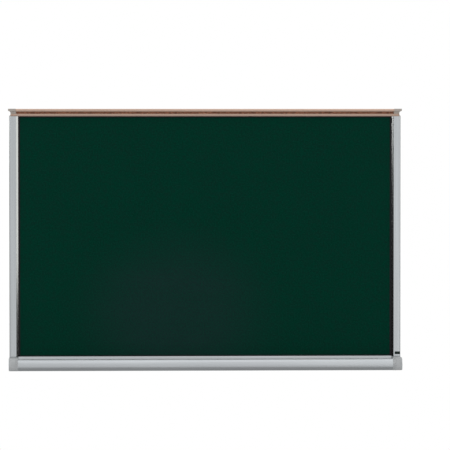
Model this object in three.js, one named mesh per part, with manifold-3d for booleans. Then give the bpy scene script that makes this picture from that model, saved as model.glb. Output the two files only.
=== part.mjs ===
// Wall-hung chalkboard: a laminated writing panel in an extruded aluminium frame,
// with a cork map rail along the top and a bull-nosed chalk tray along the bottom.
//
// Units are millimetres, +Z up and +X to the right of someone facing the board.
// The building wall is the plane y = 0 and the board stands out from it towards -Y.
// "Depth" is the distance out from that wall. "Reach" is the distance in from the
// outer face of a side trim. The origin is the middle of the hanger rail's back face.

import * as THREE from 'three';
import { mergeVertices } from 'three/addons/utils/BufferGeometryUtils.js';
import Module from 'manifold-3d';

const wasm = await Module();
wasm.setup();

// Driving dimensions of the whole board
const boardWidth = 914.4;
const boardHeight = 609.6;
const wall = 1.6;
const fitGap = 0.3;
const looseGap = 0.6;
const sameCorner = 0.001;
const noseDivisions = 7;

// Writing panel: enamelled steel, fibreboard and a metal backing sheet
const sheetThickness = 0.6;
const coreThickness = 11.0;
const backingThickness = 0.4;
const panelThickness = sheetThickness + coreThickness + backingThickness;

// Hanger rail on the building wall
const hangerLength = 600;
const hangerGauge = 2.0;
const hangerLegHeight = 20;
const wallScrewRadius = 2.5;
const wallScrewPitch = 406.4;
const wallScrewLeastGap = 40;
const outerWallScrewInset = 20;
const roundSteps = 20;

// Map rail heights, counted up from the rail's lower edge
const railHeight = 17.2;
const railStandProud = 1.0;
const lowerLipHeight = 5.7;
const lowerLipSlope = 1.0;
const corkOpening = 4.9;
const corkUndercut = 1.2;
const panelSeatInRail = 10;
const hookThickness = 1.8;
const hookFoot = 4;
const hookStandOff = 0.6;
const railLipThickness = 1.4;
const railNoseRadius = 1.6;
const lowerNoseRadius = 1.2;
const upperLipOverhang = 1.5;
const upperLipSlope = 0.6;

// Cork strip
const corkSideGap = 0.3;

// Side trim
const chamberWidth = 9.6;
const faceWidth = 16;
const bevelWidth = 4.7;
const bevelDrop = 2.6;
const bevelTip = 1.0;
const rearFlangeReach = 20;
const trimStandProud = 5.0;
const trimCornerRadius = 1.2;

// Black gasket between the frame's lips and the panel
const gasketThickness = 1.1;
const gasketSideShow = 4.3;
const gasketLevelShow = 2.6;
const gasketLevelGrip = 2.0;
const gasketGrip = 4.0;
const gasketRound = 0.6;

// Chalk tray
const sideTrimFoot = 29.5;
const trayLipTop = 31.5;
const trayRearTop = 30.5;
const trayRearFoot = 12;
const pocketFloor = 22;
const trayProjection = 63.5;
const noseRadius = 20.5;
const noseCentreHeight = 10.5;
const noseTipRadius = 1.0;
const noseFootRadius = 4;
const troughFloor = 9;
const troughCornerRadius = 10;
const troughWidth = 32;
const chalkRibs = 3;
const chalkRibHeight = 0.8;
const chalkRibWidth = 1.6;
const chamberTop = 21;

// Tray end cap
const capPlate = 1.6;
const capWidth = 20;
const capGrow = 1.0;
const capBevel = 0.8;
const capRibs = 3;
const capRibWidth = 1.0;
const capRibGap = 2.2;
const capRibGrow = 0.5;
const tongueLength = 10;
const tongueHeight = 4.6;
const tongueWidth = 18;

// Rail end stop
const stopPlate = 2.6;
const stopInset = 4;
const stopHeadReach = 15;
const stopTongue = 1;
const stopGrow = 0.4;
const scoopRadius = 6.2;

// Screws and the ports that they cut their thread in
const frameScrewRadius = 1.7;
const frameScrewHeadRadius = 3.3;
const frameScrewHeadHeight = 2.1;
const frameScrewEngagement = 14;
const capScrewRadius = 1.4;
const capScrewHeadRadius = 2.8;
const capScrewHeadHeight = 1.5;
const capScrewEngagement = 10;
const screwClearance = 0.3;
const screwTip = 0.6;
const screwRim = 0.2;
const screwSteps = 16;
const recessReach = 1.1;
const recessWidth = 0.9;
const recessDepth = 1.1;
const portBore = 0.2;
const portWall = 1.2;
const portSlit = 70;
const portBite = 0.2;
const portRearInset = 1.0;
const portFrontInset = 3.6;

// Lower wall clips
const clipWidth = 40;
const clipGauge = 1.5;
const clipSpacing = 600;
const clipFoot = 1;
const clipLipHeight = 4;

// Bare plate on the right side trim
const plateWidth = 12.4;
const plateHeight = 6.3;
const plateThickness = 0.5;
const plateLift = 5.8;
const plateInset = 0.9;
const plateCornerRadius = 0.8;

// Depths, worked out from the wall outwards
const hookFront = hookStandOff + hookThickness;
const hangerLipBack = hookFront + fitGap;
const hangerLipFront = hangerLipBack + hangerGauge;
const rearWallBack = hangerLipFront + looseGap;
const rearWallFront = rearWallBack + wall;
const panelBack = rearWallFront + fitGap;
const coreBack = panelBack + backingThickness;
const coreFront = coreBack + coreThickness;
const panelFront = panelBack + panelThickness;
const gasketFront = panelFront + gasketThickness;
const lipBack = gasketFront + fitGap;
const trayLipFront = lipBack + wall;
const trimFront = panelFront + trimStandProud;
const trimBack = hookFront;
const grooveFloor = panelFront + fitGap + wall;
const lowerLipFront = trimFront + railStandProud;
const upperLipFront = lowerLipFront + upperLipOverhang;
const lipInside = lowerLipFront - railLipThickness;
const corkFront = lipInside - corkSideGap;
const portDepths = [panelBack + portRearInset, panelFront - portFrontInset];

// Heights, from the underside of the tray
const railFoot = boardHeight - railHeight;
const railWebFoot = railFoot + panelSeatInRail;
const panelFoot = pocketFloor + looseGap;
const panelTop = railWebFoot - looseGap;
const grooveFoot = railFoot + lowerLipHeight - corkUndercut;
const grooveTop = railFoot + lowerLipHeight + corkOpening + corkUndercut;
const hangerStepTop = railFoot + hookFoot - fitGap;
const hangerMiddle = hangerStepTop - hangerLegHeight / 2;

// Reaches, in from the outer face of a side trim
const halfWidth = boardWidth / 2;
const panelReach = chamberWidth + looseGap;
const lipReach = faceWidth + bevelWidth;
const capReach = capWidth;
const portReach = chamberWidth / 2;
const framePortRadius = portReach - wall + portBite;

// Materials: colour, roughness and metalness
const finishes = {
  satinAluminium: { color: 0xb6b9bc, roughness: 0.42, metalness: 0.9 },
  millAluminium: { color: 0xa9abad, roughness: 0.5, metalness: 0.9 },
  greenEnamel: { color: 0x06302a, roughness: 0.6, metalness: 0.0 },
  fibreboard: { color: 0x7c5c3d, roughness: 0.9, metalness: 0.0 },
  backingMetal: { color: 0x9aa0a3, roughness: 0.45, metalness: 0.8 },
  cork: { color: 0x87583f, roughness: 0.95, metalness: 0.0 },
  blackVinyl: { color: 0x0c0f12, roughness: 0.55, metalness: 0.0 },
  greyPlastic: { color: 0xa6a9aa, roughness: 0.5, metalness: 0.0 },
  stopPlastic: { color: 0x8a8581, roughness: 0.55, metalness: 0.0 },
  zincSteel: { color: 0xb3b3ab, roughness: 0.35, metalness: 0.9 },
  blackPlate: { color: 0x10211d, roughness: 0.4, metalness: 0.2 }
};

// A mesh with its own material
function part(name, geometry, finish) {
  const material = new THREE.MeshStandardMaterial(finishes[finish]);
  const mesh = new THREE.Mesh(geometry, material);
  mesh.name = name;
  return mesh;
}

// Merge shared vertices and drop the triangles that close up to nothing at a pole
function weld(geometry) {
  const bare = geometry.clone();
  bare.deleteAttribute('normal');
  bare.deleteAttribute('uv');
  const merged = mergeVertices(bare, 1e-4);
  const index = merged.index.array;
  const kept = [];
  for (let i = 0; i < index.length; i += 3) {
    const [a, b, c] = index.slice(i, i + 3);
    if (a !== b && b !== c && c !== a) {
      kept.push(a, b, c);
    }
  }
  merged.setIndex(kept);
  return merged;
}

// Closed geometry to a solid for cutting and joining
function toSolid(geometry) {
  const welded = weld(geometry);
  const vertProperties = new Float32Array(welded.attributes.position.array);
  const triVerts = new Uint32Array(welded.index.array);
  return new wasm.Manifold(new wasm.Mesh({ numProp: 3, vertProperties, triVerts }));
}

// A solid back to geometry
function toGeometry(solid) {
  const mesh = solid.getMesh();
  const geometry = new THREE.BufferGeometry();
  geometry.setAttribute('position', new THREE.BufferAttribute(mesh.vertProperties, 3));
  geometry.setIndex(new THREE.BufferAttribute(mesh.triVerts, 1));
  geometry.computeVertexNormals();
  return geometry;
}

// Cut every tool out of a geometry
function cut(geometry, tools) {
  let solid = toSolid(geometry);
  for (const tool of tools) {
    solid = solid.subtract(toSolid(tool));
  }
  return toGeometry(solid);
}

// Join geometries that run into each other
function join(geometries) {
  let solid = toSolid(geometries[0]);
  for (const geometry of geometries.slice(1)) {
    solid = solid.add(toSolid(geometry));
  }
  return toGeometry(solid);
}

// A section as plain corners, anticlockwise, with curves divided into straight
// steps and corners that coincide taken once
function cornered(section, divisions) {
  const distinct = (points) => points.filter((point, index) => {
    const previous = points[(index + points.length - 1) % points.length];
    return point.distanceTo(previous) > sameCorner;
  });
  const { shape, holes } = section.extractPoints(divisions);
  if (THREE.ShapeUtils.isClockWise(shape)) {
    shape.reverse();
  }
  const corners = new THREE.Shape(distinct(shape));
  corners.holes = holes.map((hole) => new THREE.Path(distinct(hole)));
  return corners;
}

// Extrude a section with flat ends, or with the bevel that the options ask for
function extrude(section, length, divisions = 4, bevel = { bevelEnabled: false }) {
  return new THREE.ExtrudeGeometry(cornered(section, divisions), { depth: length, ...bevel });
}

// Extrude a (depth, height) section along X, from x = start to x = end
function alongX(section, start, end, divisions, bevel) {
  const geometry = extrude(section, end - start, divisions, bevel);
  const turn = new THREE.Matrix4().makeBasis(
    new THREE.Vector3(0, -1, 0),
    new THREE.Vector3(0, 0, 1),
    new THREE.Vector3(-1, 0, 0)
  );
  turn.setPosition(end, 0, 0);
  return geometry.applyMatrix4(turn);
}

// Extrude an (x, depth) section along Z, from z = foot to z = top
function alongZ(section, foot, top) {
  const geometry = extrude(section, top - foot);
  const turn = new THREE.Matrix4().makeBasis(
    new THREE.Vector3(1, 0, 0),
    new THREE.Vector3(0, -1, 0),
    new THREE.Vector3(0, 0, -1)
  );
  turn.setPosition(0, 0, top);
  return geometry.applyMatrix4(turn);
}

// Extrude an (x, height) outline along depth, from the back to the front depth
function alongDepth(outline, back, front) {
  const geometry = extrude(outline, front - back);
  geometry.rotateX(Math.PI / 2);
  return geometry.translate(0, -back, 0);
}

// A block between two corners given as [x, depth, height]
function block(low, high) {
  const size = [high[0] - low[0], high[1] - low[1], high[2] - low[2]];
  const geometry = new THREE.BoxGeometry(size[0], size[1], size[2]);
  const middle = [low[0] + size[0] / 2, -(low[1] + size[1] / 2), low[2] + size[2] / 2];
  return geometry.translate(middle[0], middle[1], middle[2]);
}

// A shape through straight points
function polygon(points) {
  return new THREE.Shape(points.map(([x, y]) => new THREE.Vector2(x, y)));
}

// A rectangle with round corners, centred on (x, y)
function roundedRectangle(x, y, width, height, radius) {
  const right = x + width / 2;
  const left = x - width / 2;
  const top = y + height / 2;
  const foot = y - height / 2;
  const shape = new THREE.Shape();
  shape.absarc(right - radius, foot + radius, radius, -Math.PI / 2, 0, false);
  shape.absarc(right - radius, top - radius, radius, 0, Math.PI / 2, false);
  shape.absarc(left + radius, top - radius, radius, Math.PI / 2, Math.PI, false);
  shape.absarc(left + radius, foot + radius, radius, Math.PI, 1.5 * Math.PI, false);
  return shape;
}

// A slit ring that a screw cuts its thread in, with the slit facing one way
function portShape(x, y, screwRadius, outside, slitAngle) {
  const bore = screwRadius + portBore;
  const half = THREE.MathUtils.degToRad(portSlit) / 2;
  const start = slitAngle + half;
  const end = slitAngle + 2 * Math.PI - half;
  const shape = new THREE.Shape();
  shape.absarc(x, y, outside, start, end, false);
  shape.absarc(x, y, bore, end, start, true);
  return shape;
}

// Countersunk screw turned about Z, head up, top of the head at z = 0
function screwGeometry(radius, headRadius, headHeight, length, grow = 0) {
  const profile = [
    [0, -length - grow],
    [radius * screwTip + grow, -length - grow],
    [radius + grow, -length + radius - grow],
    [radius + grow, -headHeight - grow],
    [headRadius + grow, -screwRim],
    [headRadius + grow, grow],
    [0, grow]
  ];
  const points = profile.map(([x, y]) => new THREE.Vector2(x, y));
  return new THREE.LatheGeometry(points, screwSteps).rotateX(Math.PI / 2);
}

// Countersunk screw with a cross recess
function crossScrew(radius, headRadius, headHeight, length) {
  const arm = headRadius * recessReach;
  const slots = [
    new THREE.BoxGeometry(arm, recessWidth, 2 * recessDepth),
    new THREE.BoxGeometry(recessWidth, arm, 2 * recessDepth)
  ];
  return cut(screwGeometry(radius, headRadius, headHeight, length), slots);
}

// Side of the board: -1 left, +1 right
const sides = [
  { name: 'left', sign: -1 },
  { name: 'right', sign: 1 }
];

// X of a point that lies a given reach in from a side's outer face
function xAt(sign, reach) {
  return sign * (halfWidth - reach);
}

// A block between two reaches on one side
function sideBlock(sign, reachLow, reachHigh, depths, heights) {
  const xs = [xAt(sign, reachLow), xAt(sign, reachHigh)].sort((a, b) => a - b);
  return block([xs[0], depths[0], heights[0]], [xs[1], depths[1], heights[1]]);
}

// Laminated writing panel
function panelSheet(back, front) {
  const half = halfWidth - panelReach;
  return block([-half, back, panelFoot], [half, front, panelTop]);
}

// Side trim: a closed chamber along the outside, a pocket for the panel's edge,
// a flat face and a bevelled lip that leads the eye down to the panel
function sideTrimShape(sign) {
  const at = (reach, depth) => [xAt(sign, reach), depth];
  const corner = new THREE.Vector2(xAt(sign, trimCornerRadius), trimFront - trimCornerRadius);
  const outline = new THREE.Shape();
  outline.moveTo(...at(0, trimBack));
  outline.lineTo(...at(chamberWidth, trimBack));
  outline.lineTo(...at(chamberWidth, rearWallBack));
  outline.lineTo(...at(rearFlangeReach, rearWallBack));
  outline.lineTo(...at(rearFlangeReach, rearWallFront));
  outline.lineTo(...at(chamberWidth, rearWallFront));
  outline.lineTo(...at(chamberWidth, trimFront - wall));
  outline.lineTo(...at(faceWidth, trimFront - wall));
  outline.lineTo(...at(lipReach, trimFront - bevelDrop - bevelTip));
  outline.lineTo(...at(lipReach, trimFront - bevelDrop));
  outline.lineTo(...at(faceWidth, trimFront));
  const from = Math.PI / 2;
  const to = sign > 0 ? 0 : Math.PI;
  outline.absarc(corner.x, corner.y, trimCornerRadius, from, to, sign > 0);
  const chamber = polygon([
    at(wall, trimBack + wall),
    at(chamberWidth - wall, trimBack + wall),
    at(chamberWidth - wall, trimFront - wall),
    at(wall, trimFront - wall)
  ]);
  outline.holes.push(chamber);
  return outline;
}

function sideTrim(sign) {
  const body = alongZ(sideTrimShape(sign), sideTrimFoot, railFoot);
  const ports = portDepths.map((depth, index) => {
    const slit = index === 0 ? Math.PI / 2 : -Math.PI / 2;
    const ring = portShape(xAt(sign, portReach), depth, frameScrewRadius, framePortRadius, slit);
    return alongZ(ring, sideTrimFoot, railFoot);
  });
  return join([body, ...ports]);
}

// Map rail: wall hook, panel pocket, hollow chamber and cork groove in one section
function mapRailShape() {
  const lipHeight = grooveFoot - wall;
  const cornerHeight = boardHeight - railNoseRadius;
  const openingFoot = railFoot + lowerLipHeight;
  const openingTop = openingFoot + corkOpening;
  const outline = new THREE.Shape();
  outline.moveTo(hookStandOff, railFoot + hookFoot);
  outline.lineTo(hookStandOff, boardHeight);
  outline.absarc(upperLipFront - railNoseRadius, cornerHeight, railNoseRadius, Math.PI / 2, 0, true);
  outline.lineTo(upperLipFront, openingTop + upperLipSlope);
  outline.lineTo(lowerLipFront, openingTop);
  outline.lineTo(lipInside, openingTop);
  outline.lineTo(lipInside, grooveTop);
  outline.lineTo(grooveFloor, grooveTop);
  outline.lineTo(grooveFloor, grooveFoot);
  outline.lineTo(lipInside, grooveFoot);
  outline.lineTo(lipInside, openingFoot);
  outline.absarc(lowerLipFront - lowerNoseRadius, openingFoot - lowerNoseRadius, lowerNoseRadius,
    Math.PI / 2, 0, true);
  outline.lineTo(lowerLipFront - lowerLipSlope, railFoot);
  outline.lineTo(lipBack, railFoot);
  outline.lineTo(lipBack, lipHeight);
  outline.lineTo(grooveFloor - wall, lipHeight);
  outline.lineTo(grooveFloor - wall, railWebFoot);
  outline.lineTo(rearWallFront, railWebFoot);
  outline.lineTo(rearWallFront, railFoot);
  outline.lineTo(rearWallBack, railFoot);
  outline.lineTo(rearWallBack, boardHeight - wall);
  outline.lineTo(hookFront, boardHeight - wall);
  outline.lineTo(hookFront, railFoot + hookFoot);
  outline.holes.push(polygon([
    [rearWallFront, railWebFoot + wall],
    [grooveFloor - wall, railWebFoot + wall],
    [grooveFloor - wall, grooveTop + wall],
    [upperLipFront - wall, grooveTop + wall],
    [upperLipFront - wall, boardHeight - wall],
    [rearWallFront, boardHeight - wall]
  ]));
  return outline;
}

// Frame screws at the top go down through the rail, those at the bottom up through the tray
function frameScrewPlaces() {
  const topLength = railHeight + frameScrewEngagement;
  const pocketUnderside = pocketFloor - wall;
  const footLength = sideTrimFoot - pocketUnderside + frameScrewEngagement;
  const places = [];
  for (const { name, sign } of sides) {
    portDepths.forEach((depth, index) => {
      const row = index === 0 ? 'rear' : 'front';
      const x = xAt(sign, portReach);
      const top = { x, depth, z: boardHeight, length: topLength };
      places.push({ name: `frame_screw_top_${name}_${row}`, ...top });
      const foot = { x, depth, z: pocketUnderside, length: footLength, up: true };
      places.push({ name: `frame_screw_bottom_${name}_${row}`, ...foot });
    });
  }
  return places;
}

// A screw, or with a growth its clearance hole, at one of those places
function placeScrew(geometry, place) {
  if (place.up) {
    geometry.rotateX(Math.PI);
  }
  return geometry.translate(place.x, -place.depth, place.z);
}

function frameScrewHole(place) {
  const hole = screwGeometry(
    frameScrewRadius, frameScrewHeadRadius, frameScrewHeadHeight, place.length, screwClearance
  );
  return placeScrew(hole, place);
}

function mapRail() {
  const body = alongX(mapRailShape(), -halfWidth, halfWidth);
  const places = frameScrewPlaces().filter((place) => !place.up);
  const depths = [grooveFloor - wall, upperLipFront + 1];
  const endCuts = sides.map(({ sign }) => sideBlock(
    sign, -1, stopInset, depths, [railFoot - 1, boardHeight + 1]
  ));
  const headCuts = sides.map(({ sign }) => sideBlock(
    sign, stopInset - 1, stopHeadReach, depths, [railFoot + lowerLipHeight, boardHeight + 1]
  ));
  return cut(body, [...places.map(frameScrewHole), ...endCuts, ...headCuts]);
}

// Cork strip, held behind both lips of the groove
function corkStrip() {
  const half = halfWidth - stopHeadReach - stopTongue - fitGap;
  const foot = grooveFoot + corkSideGap;
  const top = grooveTop - corkSideGap;
  return block([-half, grooveFloor, foot], [half, corkFront, top]);
}

// Rail end stop: a plate over the rail's end with a scooped side, a head that
// takes the place of the upper lip and a tongue in the cork groove
function endStop(sign) {
  const top = boardHeight + stopGrow;
  const front = upperLipFront + stopGrow;
  const cornerHeight = boardHeight - railNoseRadius;
  const section = new THREE.Shape();
  section.moveTo(rearWallBack, railFoot);
  section.lineTo(rearWallBack, railFoot + hookFoot);
  section.lineTo(hookStandOff, railFoot + hookFoot);
  section.lineTo(hookStandOff, top);
  section.absarc(upperLipFront - railNoseRadius, cornerHeight, railNoseRadius + stopGrow,
    Math.PI / 2, 0, true);
  section.lineTo(front, railFoot + lowerLipHeight);
  section.lineTo(lowerLipFront + stopGrow, railFoot + lowerLipHeight - stopGrow);
  section.lineTo(lowerLipFront - lowerLipSlope + stopGrow, railFoot);
  const xs = [xAt(sign, -stopPlate), xAt(sign, stopHeadReach - fitGap)].sort((a, b) => a - b);
  const body = alongX(section, xs[0], xs[1]);
  const rearCut = sideBlock(
    sign, -fitGap, stopHeadReach + 1, [-1, grooveFloor - wall + fitGap], [railFoot - 1, top + 1]
  );
  const lipCut = sideBlock(
    sign, stopInset - fitGap, stopHeadReach + 1,
    [-1, front + 1], [railFoot - 1, railFoot + lowerLipHeight + fitGap]
  );
  const scoop = new THREE.CylinderGeometry(scoopRadius, scoopRadius, 3 * front, roundSteps);
  scoop.translate(xAt(sign, -stopPlate - scoopRadius / 3), -front / 2, railFoot + lowerLipHeight);
  const footCut = sideBlock(
    sign, -stopPlate - 1, 0, [-1, front + 1], [railFoot - 1, railFoot + lowerLipHeight]
  );
  const tongue = sideBlock(
    sign, stopInset - 1, stopHeadReach + stopTongue,
    [grooveFloor + fitGap, corkFront],
    [grooveFoot + corkSideGap, grooveTop - corkSideGap]
  );
  return join([cut(body, [rearCut, lipCut, scoop, footCut]), tongue]);
}

// The nose curve of the tray, seen from the end: round tip, bull nose and round foot.
// Growing it moves every point of the curve outwards by the same distance.
function noseCurve(grow) {
  const centre = new THREE.Vector2(trayProjection - noseRadius, noseCentreHeight);
  const radius = noseRadius + grow;
  const footInset = radius - noseFootRadius - grow;
  const footDrop = noseFootRadius - noseCentreHeight;
  const footX = centre.x + Math.sqrt(footInset ** 2 - footDrop ** 2);
  const footAngle = Math.atan2(footDrop, footX - centre.x);
  return { centre, radius, footX, footAngle, footRadius: noseFootRadius + grow };
}

// Chalk tray: the frame's bottom trim and a box tray with a ribbed trough, one section
function chalkTrayShape() {
  const nose = noseCurve(0);
  const inner = noseCurve(-wall);
  const troughBack = trayLipFront + troughCornerRadius;
  const troughFront = trayLipFront + troughWidth - troughCornerRadius;
  const troughArcHeight = troughFloor + troughCornerRadius;
  const tipX = trayLipFront + troughWidth + noseTipRadius;
  const tipInset = nose.radius - noseTipRadius;
  const tipY = nose.centre.y + Math.sqrt(tipInset ** 2 - (tipX - nose.centre.x) ** 2);
  const tipAngle = Math.atan2(tipY - nose.centre.y, tipX - nose.centre.x);
  const outline = new THREE.Shape();
  outline.moveTo(rearWallBack, trayRearFoot);
  outline.lineTo(rearWallBack, trayRearTop);
  outline.lineTo(rearWallFront, trayRearTop);
  outline.lineTo(rearWallFront, pocketFloor);
  outline.lineTo(lipBack, pocketFloor);
  outline.lineTo(lipBack, trayLipTop);
  outline.lineTo(lipBack + wall / 2, trayLipTop);
  outline.lineTo(trayLipFront, trayLipTop - wall / 2);
  outline.absarc(troughBack, troughArcHeight, troughCornerRadius, Math.PI, 1.5 * Math.PI, false);
  for (let rib = 0; rib < chalkRibs; rib += 1) {
    const spread = troughFront - troughBack;
    const x = troughBack + (spread * (rib + 0.5)) / chalkRibs;
    outline.lineTo(x - chalkRibWidth / 2, troughFloor);
    outline.lineTo(x - chalkRibWidth / 4, troughFloor + chalkRibHeight);
    outline.lineTo(x + chalkRibWidth / 4, troughFloor + chalkRibHeight);
    outline.lineTo(x + chalkRibWidth / 2, troughFloor);
  }
  outline.absarc(troughFront, troughArcHeight, troughCornerRadius, 1.5 * Math.PI, 2 * Math.PI, false);
  outline.absarc(tipX, tipY, noseTipRadius, Math.PI, tipAngle, true);
  outline.absarc(nose.centre.x, nose.centre.y, nose.radius, tipAngle, nose.footAngle, true);
  outline.absarc(nose.footX, noseFootRadius, noseFootRadius, nose.footAngle, -Math.PI / 2, true);
  outline.lineTo(lipBack, 0);
  outline.lineTo(lipBack, pocketFloor - wall);
  outline.lineTo(rearWallFront, pocketFloor - wall);
  outline.lineTo(rearWallFront, trayRearFoot);
  const chamberFrontWall = trayLipFront + troughWidth + wall;
  const roofRadius = troughCornerRadius + wall;
  const roofAngle = Math.acos(troughCornerRadius / roofRadius);
  const chamberAngle = Math.asin((chamberTop - inner.centre.y) / inner.radius);
  const chamber = new THREE.Path();
  chamber.moveTo(trayLipFront, wall);
  chamber.lineTo(inner.footX, wall);
  chamber.absarc(inner.footX, noseFootRadius, inner.footRadius, -Math.PI / 2, inner.footAngle, false);
  chamber.absarc(inner.centre.x, inner.centre.y, inner.radius, inner.footAngle, chamberAngle, false);
  chamber.lineTo(chamberFrontWall, chamberTop);
  chamber.absarc(troughFront, troughArcHeight, roofRadius, 0, -Math.PI / 2, true);
  chamber.absarc(troughBack, troughArcHeight, roofRadius, -Math.PI / 2, roofAngle - Math.PI, true);
  outline.holes.push(chamber);
  return outline;
}

// End cap screws: one port low at the back of the tray's chamber, one in its nose
const capPortRadius = capScrewRadius + portBore + portWall;
const capPortInset = wall + capPortRadius - portBite;
const capPorts = [
  { name: 'rear', depth: trayLipFront + capPortInset - wall, z: capPortInset, slit: Math.PI / 2 },
  { name: 'front', depth: trayProjection - capPortInset, z: noseCentreHeight, slit: Math.PI }
];

function chalkTray() {
  const body = alongX(chalkTrayShape(), -halfWidth, halfWidth, noseDivisions);
  const ports = capPorts.map(({ depth, z, slit }) => alongX(
    portShape(depth, z, capScrewRadius, capPortRadius, slit), -halfWidth, halfWidth
  ));
  const beyond = trayProjection + 1;
  const noseCuts = sides.map(({ sign }) => sideBlock(
    sign, -1, capReach, [trayLipFront, beyond], [-1, trayLipTop + 1]
  ));
  const trimSeats = sides.map(({ sign }) => sideBlock(
    sign, -1, lipReach + fitGap, [0, beyond], [sideTrimFoot, trayLipTop + 1]
  ));
  const places = frameScrewPlaces().filter((place) => place.up);
  return cut(join([body, ...ports]), [...noseCuts, ...trimSeats, ...places.map(frameScrewHole)]);
}

// Outline of the end cap seen from the side: flat top, bull nose, round foot
function capShape(grow) {
  const nose = noseCurve(grow);
  const top = sideTrimFoot - capGrow + grow;
  const topAngle = Math.asin((top - nose.centre.y) / nose.radius);
  const foot = capGrow - grow;
  const outline = new THREE.Shape();
  outline.moveTo(rearWallBack + capGrow - grow, trayRearFoot);
  outline.lineTo(rearWallBack + capGrow - grow, top);
  outline.lineTo(nose.centre.x + nose.radius * Math.cos(topAngle), top);
  outline.absarc(nose.centre.x, nose.centre.y, nose.radius, topAngle, nose.footAngle, true);
  outline.absarc(nose.footX, noseFootRadius, nose.footRadius - foot, nose.footAngle, -Math.PI / 2, true);
  outline.lineTo(trayLipFront + fitGap, noseFootRadius - nose.footRadius + foot);
  outline.lineTo(trayLipFront + fitGap, trayRearFoot);
  return outline;
}

// Tray end cap: moulded, with a rounded outer edge, grip ribs round its nose,
// a cored-out back and a tongue that plugs into the tray's chamber
function trayEndCap(sign) {
  const xs = [xAt(sign, -capPlate), xAt(sign, capReach)].sort((a, b) => a - b);
  const bevel = {
    bevelEnabled: true,
    bevelThickness: capBevel,
    bevelSize: capBevel,
    bevelOffset: -capBevel,
    bevelSegments: 3
  };
  const body = alongX(capShape(capGrow), xs[0] + capBevel, xs[1] - capBevel, noseDivisions, bevel);
  const ribs = [];
  for (let rib = 0; rib < capRibs; rib += 1) {
    const reach = capReach - capRibGap * (rib + 1) - capRibWidth;
    const ends = [xAt(sign, reach), xAt(sign, reach + capRibWidth)].sort((a, b) => a - b);
    ribs.push(alongX(capShape(capGrow + capRibGrow), ends[0], ends[1], noseDivisions));
  }
  const tongueFoot = wall + fitGap;
  const tongueBack = trayLipFront + troughWidth / 2 - tongueWidth / 2;
  const tongue = sideBlock(
    sign, capReach - 1, capReach + tongueLength,
    [tongueBack, tongueBack + tongueWidth], [tongueFoot, tongueFoot + tongueHeight]
  );
  const beyond = trayProjection + noseRadius;
  const reliefs = [
    sideBlock(sign, 0, capReach + 1, [0, trayLipFront + fitGap], [-1, trayLipTop]),
    sideBlock(sign, -beyond, beyond, [0, beyond], [sideTrimFoot, trayLipTop]),
    sideBlock(sign, -beyond, beyond, [0, beyond], [-trayLipTop, 0])
  ];
  const core = sideBlock(
    sign, capPlate, capReach - capPlate,
    [0, trayLipFront + troughWidth / 2], [capPortInset * 2 + capPlate, sideTrimFoot - 2 * capPlate]
  );
  const holes = capScrewPlaces(sign).map((place) => capScrewAt(sign, place, screwClearance));
  return cut(join([body, ...ribs, tongue]), [...reliefs, core, ...holes]);
}

function capScrewPlaces(sign) {
  return capPorts.map(({ name, depth, z }) => ({ name, depth, z, x: xAt(sign, -capPlate) }));
}

// An end cap screw lies along X with its head flush in the cap's outer face
function capScrewAt(sign, place, grow) {
  const length = capPlate + capReach + capScrewEngagement;
  const geometry = grow > 0
    ? screwGeometry(capScrewRadius, capScrewHeadRadius, capScrewHeadHeight, length, grow)
    : crossScrew(capScrewRadius, capScrewHeadRadius, capScrewHeadHeight, length);
  geometry.rotateY((sign * Math.PI) / 2);
  return geometry.translate(place.x, -place.depth, place.z);
}

// Gaskets: flat vinyl strips with a rounded free edge
function gasketSection(grip, show, thickness) {
  const shape = new THREE.Shape();
  const radius = thickness * gasketRound;
  shape.moveTo(-grip, 0);
  shape.lineTo(show, 0);
  shape.lineTo(show, thickness - radius);
  shape.absarc(show - radius, thickness - radius, radius, 0, Math.PI / 2, false);
  shape.lineTo(-grip, thickness);
  return shape;
}

function sideGasket(sign) {
  const section = gasketSection(gasketGrip, gasketSideShow, gasketThickness);
  const points = section.getPoints(4).map((point) => [
    xAt(sign, lipReach + point.x), panelFront + point.y
  ]);
  return alongZ(polygon(points), panelFoot, railFoot + gasketLevelGrip);
}

function levelGasket(edge, direction) {
  const section = gasketSection(gasketLevelGrip, gasketLevelShow, gasketThickness);
  const points = section.getPoints(4).map((point) => [
    panelFront + point.y, edge + direction * point.x
  ]);
  const half = halfWidth - lipReach - gasketSideShow - fitGap;
  return alongX(polygon(points), -half, half);
}

// A hole for a wall screw, through whatever strip lies on the wall at that place
function wallScrewHole(x, z) {
  const hole = new THREE.CylinderGeometry(wallScrewRadius, wallScrewRadius, 4 * hangerGauge, roundSteps);
  return hole.translate(x, 0, z);
}

// Hanger rail: a Z-section whose upturned lip stands inside the map rail's hook
function hangerRail() {
  const legFoot = hangerStepTop - hangerLegHeight;
  const lipTop = boardHeight - wall - fitGap;
  const section = polygon([
    [0, legFoot],
    [0, hangerStepTop],
    [hangerLipBack, hangerStepTop],
    [hangerLipBack, lipTop],
    [hangerLipFront, lipTop],
    [hangerLipFront, hangerStepTop - hangerGauge],
    [hangerGauge, hangerStepTop - hangerGauge],
    [hangerGauge, legFoot]
  ]);
  const outerPitch = hangerLength - 2 * outerWallScrewInset;
  const innerPitch = Math.min(wallScrewPitch, outerPitch - 2 * wallScrewLeastGap);
  const places = [-outerPitch / 2, -innerPitch / 2, innerPitch / 2, outerPitch / 2];
  const holes = places.map((x) => wallScrewHole(x, hangerMiddle - hangerGauge));
  return cut(alongX(section, -hangerLength / 2, hangerLength / 2), holes);
}

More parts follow.
